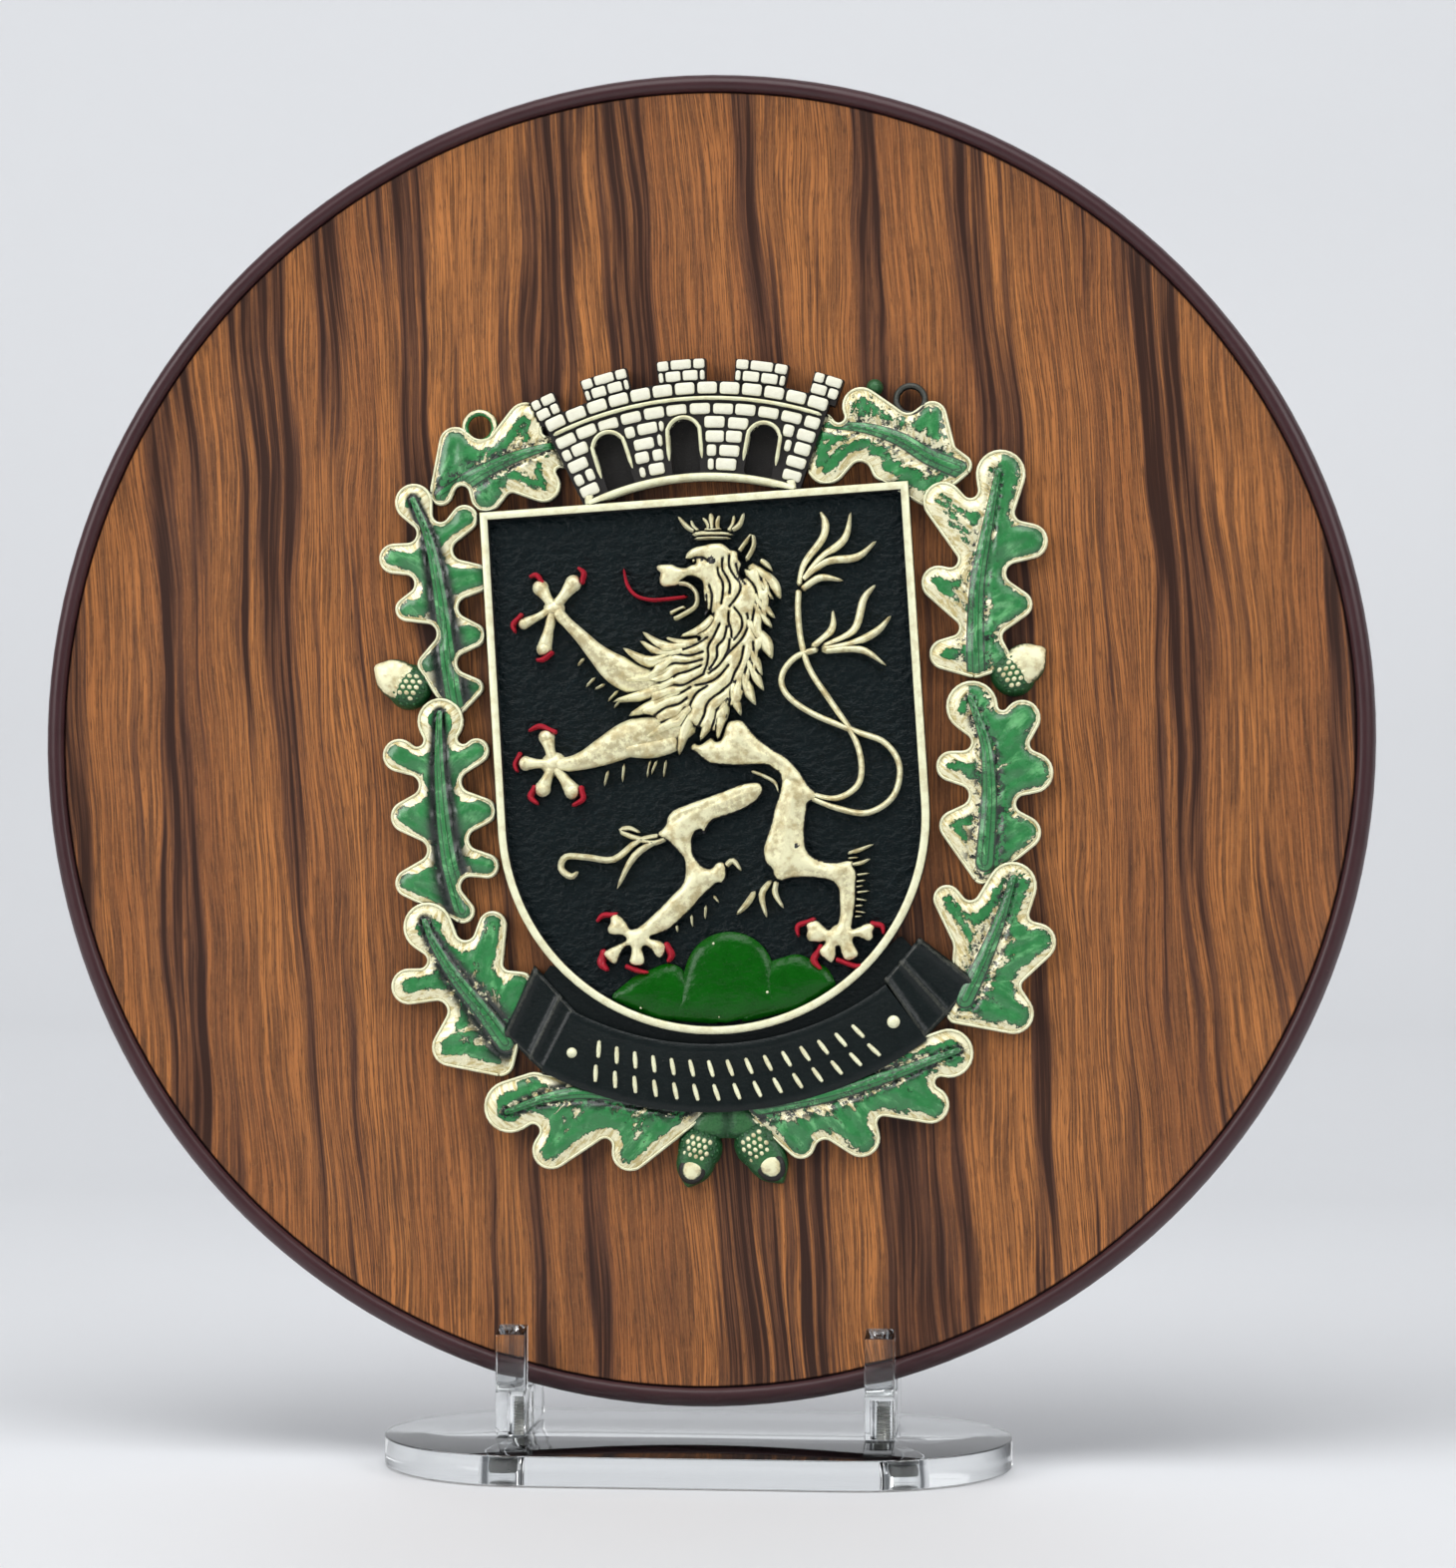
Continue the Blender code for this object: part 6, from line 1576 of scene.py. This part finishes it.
def wood_material(paint):
    """Printed wood: fine upright lines, wavy streaks, broad dark bands and short pores."""
    made, tree, shader = surface("wood_print", specular=0.3, coat=0.08, coat_roughness=0.2)
    place = stretched(tree, board_position(tree), (1, 1, 0))
    sway = less(tree, grained(tree, place, (0.03, 0.01, 1), 2), 0.5)
    ripple = less(tree, grained(tree, place, (0.22, 0.03, 1), 2), 0.5)
    shift = plus(tree, times(tree, sway, 12.0), times(tree, ripple, 0.8))
    shift = node(tree, "ShaderNodeCombineXYZ", {"X": shift}).outputs[0]
    bent = node(tree, "ShaderNodeVectorMath", {0: place, 1: shift}, operation="ADD").outputs[0]
    fine = grained(tree, bent, (2.8, 0.04, 1), 3, 0.6)
    lines = grained(tree, bent, (0.95, 0.012, 1), 3, 0.62)
    streaks = grained(tree, bent, (0.58, 0.01, 1), 3, 0.6)
    bands = grained(tree, bent, (0.085, 0.0032, 1), 2, 0.5)
    pores = grained(tree, bent, (4.6, 0.22, 1), 3, 0.6)
    broad = grained(tree, bent, (0.05, 0.004, 1), 3, 0.6)
    base = mixed(tree, step_up(tree, broad, 0.36, 0.62), colour(paint.wood_mid, 1.35),
                 colour(paint.wood_light, 1.16))
    base = painted_over(tree, base, step_up(tree, fine, 0.58, 0.38), 0.8, (0.09, 0.036, 0.016, 1))
    base = painted_over(tree, base, step_up(tree, lines, 0.56, 0.4), 0.55, (0.115, 0.048, 0.024, 1))
    grit = grained(tree, place, (2.2, 0.9, 1), 3, 0.7)
    base = painted_over(tree, base, step_up(tree, grit, 0.5, 0.72), 0.25, (0.42, 0.21, 0.09, 1))
    near_band = step_up(tree, bands, 0.44, 0.60)
    need = less(tree, 0.67, times(tree, near_band, 0.22))
    over = less(tree, plus(tree, times(tree, streaks, 0.75), times(tree, lines, 0.25)), need)
    plum = times(tree, step_up(tree, over, -0.1, 0.03), 0.72)
    base = mixed(tree, plum, base, (0.075, 0.032, 0.022, 1))
    base = painted_over(tree, base, step_up(tree, over, 0.0, 0.1), 0.92, colour(paint.wood_dark))
    base = painted_over(tree, base, step_up(tree, pores, 0.54, 0.66), 0.62, (0.046, 0.019, 0.011, 1))
    smudge = noise(tree, place, 0.03, 4, 0.6)
    height = plus(tree, times(tree, fine, 0.6), times(tree, pores, -0.4))
    connect(tree, shader, Base_Color=base, Roughness=spread(tree, smudge, 0.34, 0.16),
            Normal=bumped(tree, height, 0.03))
    return made


def moulding_material(paint):
    """Brown moulded board: faint mottling, handling marks and small nicks on the bead."""
    made, tree, shader = surface("brown_moulding", specular=0.35, coat=0.1, coat_roughness=0.3)
    place = board_position(tree)
    mottle = noise(tree, place, 0.12, 4, 0.6)
    orange_peel = noise(tree, place, 1.4, 3, 0.5)
    nicks = step_up(tree, noise(tree, place, 0.32, 5, 0.75), 0.70, 0.74)
    base = mixed(tree, mottle, colour(paint.moulding, 0.8), colour(paint.moulding, 1.25))
    base = painted_over(tree, base, nicks, 0.5, colour(paint.moulding, 2.4))
    height = less(tree, times(tree, orange_peel, 0.35), nicks)
    connect(tree, shader, Base_Color=base, Roughness=spread(tree, mottle, 0.3, 0.22),
            Normal=bumped(tree, height, 0.07))
    return made


def acrylic_material():
    """Clear cast sheet with faint wipe marks."""
    made, tree, shader = surface("clear_acrylic")
    place = object_position(tree)
    wipes = grained(tree, place, (0.08, 0.5, 0.5), 5, 0.6)
    dust = step_up(tree, noise(tree, place, 1.8, 3, 0.7), 0.70, 0.78)
    rough = plus(tree, times(tree, step_up(tree, wipes, 0.45, 0.75), 0.05), times(tree, dust, 0.15))
    shader.inputs["Transmission Weight"].default_value = 1.0
    shader.inputs["IOR"].default_value = 1.49
    connect(tree, shader, Base_Color=mixed(tree, dust, (0.97, 0.985, 0.985, 1), (0.9, 0.92, 0.92, 1)),
            Roughness=plus(tree, 0.012, rough))
    return made


def steel_material():
    """Plain bright screw steel with fine turning marks."""
    made, tree, shader = surface("screw_steel")
    place = object_position(tree)
    rings = grained(tree, place, (0.6, 0.6, 9.0), 4, 0.6)
    spots = noise(tree, place, 1.3, 4, 0.7)
    shader.inputs["Metallic"].default_value = 1.0
    connect(tree, shader, Base_Color=mixed(tree, spots, (0.62, 0.62, 0.6, 1), (0.42, 0.41, 0.39, 1)),
            Roughness=spread(tree, rings, 0.2, 0.2), Normal=bumped(tree, rings, 0.02))
    return made


def plain_material(name, value, roughness):
    """One colour, with a very faint cloud in it."""
    made, tree, shader = surface(name)
    cloud = noise(tree, object_position(tree), 0.004, 3)
    connect(tree, shader, Base_Color=mixed(tree, cloud, colour(value, 0.98), colour(value, 1.0)),
            Roughness=roughness)
    return made


# Operators


class PLAQUE_OT_board(bpy.types.Operator):
    """Turn the moulded board with its bead and its sunk back"""
    bl_idname = "plaque.board"
    bl_label = "Moulded board"

    def execute(self, context):
        back, front, seat = BOARD_BACK, BOARD_FRONT, -0.5
        bead = curve_through([(BEAD_START, back), (138.0, back + 0.35), (139.2, back + 1.7),
                              (139.55, -0.4), (139.3, 1.4), (138.5, 3.0), (137.3, front),
                              (BEAD_START, front - 0.25), (BEAD_INNER, front - 1.1)], 5)
        profile = [(0, back + 1), (60, back + 1), (97.4, back + 1), (98.6, back + 0.75),
                   (99.4, back + 0.25), (100.6, back), (118, back)]
        profile += [tuple(p) for p in bead]
        profile += [(BEAD_INNER, seat + 1.6), (FACE_FLAT, seat), (60, seat), (0, seat)]
        bm = turned(profile, context.scene.plaque_sizes.bead_turns)
        finish_piece(bm, "moulded_board", [moulding_material(context.scene.plaque_colours)],
                     PLAQUE @ TO_METRES, "backing_plate", 50)
        return {"FINISHED"}


class PLAQUE_OT_wood_face(bpy.types.Operator):
    """Turn the wood-grain face, whose edge sweeps up in a cove"""
    bl_idname = "plaque.wood_face"
    bl_label = "Wood-grain face"

    def execute(self, context):
        shares = [i / COVE_STEPS for i in range(COVE_STEPS + 1)]
        cove = [(FACE_FLAT + COVE_WIDTH * s, FACE_Z + COVE_RISE * s ** 1.8) for s in shares]
        profile = [(0, FACE_Z - 1.2), (FACE_FLAT, FACE_Z - 1.2), (FACE_EDGE, FACE_Z + 0.4),
                   (FACE_EDGE, FACE_Z + 1.3)] + cove[::-1]
        profile += [(radius, FACE_Z) for radius in (100, 70, 40, 0)]
        bm = turned(profile, context.scene.plaque_sizes.bead_turns)
        finish_piece(bm, "wood_print_face", [wood_material(context.scene.plaque_colours)],
                     PLAQUE @ TO_METRES, "wood_grain_face")
        return {"FINISHED"}


class PLAQUE_OT_casting(bpy.types.Operator):
    """Model and paint the whole casting: shield, lion, crown, wreath and ribbon"""
    bl_idname = "plaque.casting"
    bl_label = "Painted casting"

    def execute(self, context):
        paint = context.scene.plaque_colours
        groups = {"paint": hand_paint_group(), "wash": recess_wash_group()}
        # Near black for the dark wash and for the painted shade in the crevices
        wash_and_shade_black = (0.010, 0.009, 0.010, 1)
        materials = [
            leaf_material(paint, groups),
            gold_material("lion_gold", paint, groups, 0.30, 0.32, wash_and_shade_black, 1.09),
            # The field takes a painted highlight on the tops of its hammered grain
            enamel_material("field_enamel", paint.field, groups, 0.3, 0.62, 1.1,
                            ((0.02, 0.035, 0.042, 1), 0.4), 0.0, 0.15, 0.0),
            gold_material("gilt_edges", paint, groups, 0.16, 0.15, wash_and_shade_black, 1.2, 0.45),
            masonry_material(paint, groups),
            enamel_material("joint_black", (0.012, 0.010, 0.009), groups, 0.5, 2.0, 0.1),
            enamel_material("mount_enamel", paint.mount, groups, 0.22, 0.5, 0.3, specular=0.2),
            enamel_material("claw_red", paint.red, groups, 0.3, 1.2, 0.1),
            # The ribbon takes a painted highlight on its raised edges and folds
            enamel_material("ribbon_black", (0.004, 0.008, 0.008), groups, 0.3, 1.0, 0.12,
                            ((0.16, 0.16, 0.13, 1), 0.35), 0.0, 0.3),
            gold_material("nut_gold", paint, groups, 0.62, 0.2, (0.010, 0.05, 0.015, 1), 1.1, 0.9),
            # The cups and the stem take a lighter green as a painted highlight on their tops
            enamel_material("cup_green", (0.012, 0.075, 0.022), groups, 0.32, 1.4, 0.3,
                            ((0.05, 0.2, 0.06, 1), 0.6)),
        ]
        joined = new_form()
        holder = bpy.data.meshes.new("form")
        for form in casting_forms():
            bmesh.ops.recalc_face_normals(form, faces=form.faces)
            form.to_mesh(holder)
            form.free()
            joined.from_mesh(holder)
        bpy.data.meshes.remove(holder)
        finish_piece(joined, "painted_casting", materials, ARMS,
                     "coat_of_arms_casting", 40)
        return {"FINISHED"}


# The stand: its sheet's thickness, the slab's half length and end radius, and the arms' underside,
# inner faces and top
SHEET = 6.0
SLAB_HALF, SLAB_END = 32.0, 33.0
ARM_FOOT = 6.3
ARM_HALF_GAP = 35.0
ARM_TOP = 72.0


def arm_profile():
    """One arm from the side as (y, z): prong, seat and an upright that leans with the board."""
    centre_y, centre_z = BOARD_CENTRE.y / MM, BOARD_CENTRE.z / MM

    def board_back(z):
        return centre_y - (centre_z - z) * sin(LEAN) / cos(LEAN) + 4.05 / cos(LEAN)

    seat = centre_z - sqrt(BOARD_RADIUS ** 2 - ARM_HALF_GAP ** 2) * cos(LEAN) - 0.6
    top = board_back(ARM_TOP) + 8.0
    return [(-8.5, ARM_FOOT), (22.5, ARM_FOOT), (22.5, 13), (top, ARM_TOP - 3), (top - 3, ARM_TOP),
            (board_back(ARM_TOP), ARM_TOP), (board_back(seat), seat), (-2.5, seat), (-2.5, 28.5),
            (-8.5, 27)]


SCREW_PLACES = {"left": (-38.0, 7.0), "right": (38.0, 7.0)}

# A counterbored hole as (radius, z)
BORE = [(0, -1), (3.1, -1), (3.1, 2.4), (1.8, 2.4), (1.8, 13.3), (0, 13.3)]


class PLAQUE_OT_stand_base(bpy.types.Operator):
    """Cut the clear slab with round ends and its two counterbored holes"""
    bl_idname = "plaque.stand_base"
    bl_label = "Stand base"

    def execute(self, context):
        bm = bmesh.new()
        outline = (arc((SLAB_HALF, 0), SLAB_END, -90, 90, 40)
                   + arc((-SLAB_HALF, 0), SLAB_END, 90, 270, 40))
        face = bm.faces.new([bm.verts.new((x, y, 0)) for x, y in outline])
        drawn_out(bm, face, (0, 0, SHEET))
        bmesh.ops.recalc_face_normals(bm, faces=bm.faces)
        rims = [e for e in bm.edges if abs(e.verts[0].co.z - e.verts[1].co.z) < 1e-6]
        bmesh.ops.bevel(bm, geom=rims, offset=context.scene.plaque_sizes.edge_ease / MM,
                        affect="EDGES", segments=3, profile=0.5, material=-1)
        drilled(bm, [(x, y, BORE) for x, y in SCREW_PLACES.values()])
        finish_piece(bm, "clear_slab", [acrylic_material()], TO_METRES, "stand_base")
        return {"FINISHED"}


class PLAQUE_OT_stand_arms(bpy.types.Operator):
    """Cut the two clear arms with their prongs and uprights"""
    bl_idname = "plaque.stand_arms"
    bl_label = "Stand arms"

    def execute(self, context):
        for side, (x, y) in SCREW_PLACES.items():
            bm = bmesh.new()
            face = bm.faces.new([bm.verts.new((x - SHEET / 2, *p)) for p in arm_profile()])
            drawn_out(bm, face, (SHEET, 0, 0))
            bmesh.ops.recalc_face_normals(bm, faces=bm.faces)
            bmesh.ops.bevel(bm, geom=bm.edges[:], offset=context.scene.plaque_sizes.edge_ease / MM,
                            affect="EDGES", segments=2, profile=0.5, material=-1)
            drilled(bm, [(x, y, BORE)])
            finish_piece(bm, f"clear_arm_{side}", [acrylic_material()], TO_METRES,
                         f"stand_arm_{side}")
        return {"FINISHED"}


class PLAQUE_OT_screws(bpy.types.Operator):
    """Turn the two screws with their threads and round sockets"""
    bl_idname = "plaque.screws"
    bl_label = "Screws"

    def execute(self, context):
        steel = steel_material()
        for side, (x, y) in SCREW_PLACES.items():
            thread = []
            for turn in range(19):
                z = 2.6 + 0.52 * turn
                thread += [(1.5, z), (1.24, z + 0.26)]
            profile = [(0, 1.5), (1.2, 1.5), (1.2, 0.45), (1.35, 0.3), (2.5, 0.3), (2.8, 0.6),
                       (2.8, 2.1), (1.5, 2.1)] + thread + [(1.2, 12.9), (0, 13.0)]
            bm = turned(profile, 36)
            bm.transform(Matrix.Translation((x, y, 0)))
            finish_piece(bm, f"steel_screw_{side}", [steel], TO_METRES,
                         f"stand_screw_{side}")
        return {"FINISHED"}


# The stage: each light's name, place, target, size and watts, and the photo's view
LIGHTS = (
    ("window_left", (-1.2, -0.8, 0.8), (0, 0, 0.14), 0.9, 13),
    ("window_right", (1.3, -0.7, 0.9), (0, 0, 0.15), 0.9, 10),
    ("ceiling", (0.0, -0.5, 1.5), (0, 0.0, 0.1), 1.1, 13),
)
PHOTO_AZIMUTH = radians(5.278)
PHOTO_TARGET = Vector((0.00536, 0.0101, 0.1402))
PHOTO_DISTANCE = 0.8756
FLOOR_HALF_WIDTH = 3.0


class PLAQUE_OT_stage(bpy.types.Operator):
    """Set the pale floor, the soft lights and the camera"""
    bl_idname = "plaque.stage"
    bl_label = "Stage, lights and camera"

    def execute(self, context):
        scene = context.scene
        bm = bmesh.new()
        line = [bm.verts.new((-FLOOR_HALF_WIDTH, y, z - 0.3 * MM)) for y, z in (
            (-2.2, 0), (0.55, 0), (0.8, 0.04), (0.95, 0.16), (1.0, 0.4), (1.0, 2.6))]
        edges = [bm.edges.new(pair) for pair in zip(line, line[1:])]
        drawn = bmesh.ops.extrude_edge_only(bm, edges=edges)["geom"]
        bmesh.ops.translate(bm, vec=(2 * FLOOR_HALF_WIDTH, 0, 0), verts=verts_of(drawn))
        bmesh.ops.recalc_face_normals(bm, faces=bm.faces)
        mesh = bpy.data.meshes.new("pale_floor")
        bm.to_mesh(mesh)
        bm.free()
        mesh.materials.append(plain_material("pale_floor", (0.80, 0.81, 0.83), 0.5))
        mesh.shade_smooth()
        floor = bpy.data.objects.new("pale_floor", mesh)
        scene.collection.objects.link(floor)
        for name, place, target, size, energy in LIGHTS:
            data = bpy.data.lights.new(name, "AREA")
            data.shape, data.size, data.energy = "SQUARE", size, energy
            lamp = bpy.data.objects.new(name, data)
            lamp.location = place
            lamp.rotation_euler = (Vector(target) - Vector(place)).to_track_quat("-Z", "Y").to_euler()
            scene.collection.objects.link(lamp)
        world = bpy.data.worlds.new("soft_room")
        world.use_nodes = True
        world.node_tree.nodes["Background"].inputs["Color"].default_value = (0.86, 0.92, 1.0, 1)
        world.node_tree.nodes["Background"].inputs["Strength"].default_value = 0.16
        scene.world = world
        scene.view_settings.view_transform = "Standard"
        away = Vector((sin(PHOTO_AZIMUTH), -cos(PHOTO_AZIMUTH), 0))
        data = bpy.data.cameras.new("photo_view")
        data.sensor_fit, data.sensor_height, data.lens = "VERTICAL", 36, 96.18
        camera = bpy.data.objects.new("photo_view", data)
        camera.location = PHOTO_TARGET + away * PHOTO_DISTANCE
        camera.rotation_euler = (pi / 2, 0, PHOTO_AZIMUTH)
        scene.collection.objects.link(camera)
        scene.camera = camera
        return {"FINISHED"}


class PLAQUE_PT_tools(bpy.types.Panel):
    """Lists the plaque's pieces and its main sizes and colours"""
    bl_idname = "PLAQUE_PT_tools"
    bl_label = "Plaque"
    bl_space_type = "VIEW_3D"
    bl_region_type = "UI"
    bl_category = "Plaque"

    def draw(self, context):
        for operator in OPERATORS:
            self.layout.operator(operator.bl_idname)
        for group in (context.scene.plaque_sizes, context.scene.plaque_colours):
            box = self.layout.box()
            for name in group.__annotations__:
                box.prop(group, name)


OPERATORS = (PLAQUE_OT_board, PLAQUE_OT_wood_face, PLAQUE_OT_casting, PLAQUE_OT_stand_base,
             PLAQUE_OT_stand_arms, PLAQUE_OT_screws, PLAQUE_OT_stage)
CLASSES = (PlaqueSizes, PlaqueColours, *OPERATORS, PLAQUE_PT_tools)


def register():
    for cls in CLASSES:
        bpy.utils.register_class(cls)
    bpy.types.Scene.plaque_sizes = bpy.props.PointerProperty(type=PlaqueSizes)
    bpy.types.Scene.plaque_colours = bpy.props.PointerProperty(type=PlaqueColours)


def unregister():
    del bpy.types.Scene.plaque_colours
    del bpy.types.Scene.plaque_sizes
    for cls in reversed(CLASSES):
        bpy.utils.unregister_class(cls)


def main():
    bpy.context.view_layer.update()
    register()
    for operator in OPERATORS:
        group, name = operator.bl_idname.split(".")
        getattr(getattr(bpy.ops, group), name)()


if __name__ == "__main__":
    main()
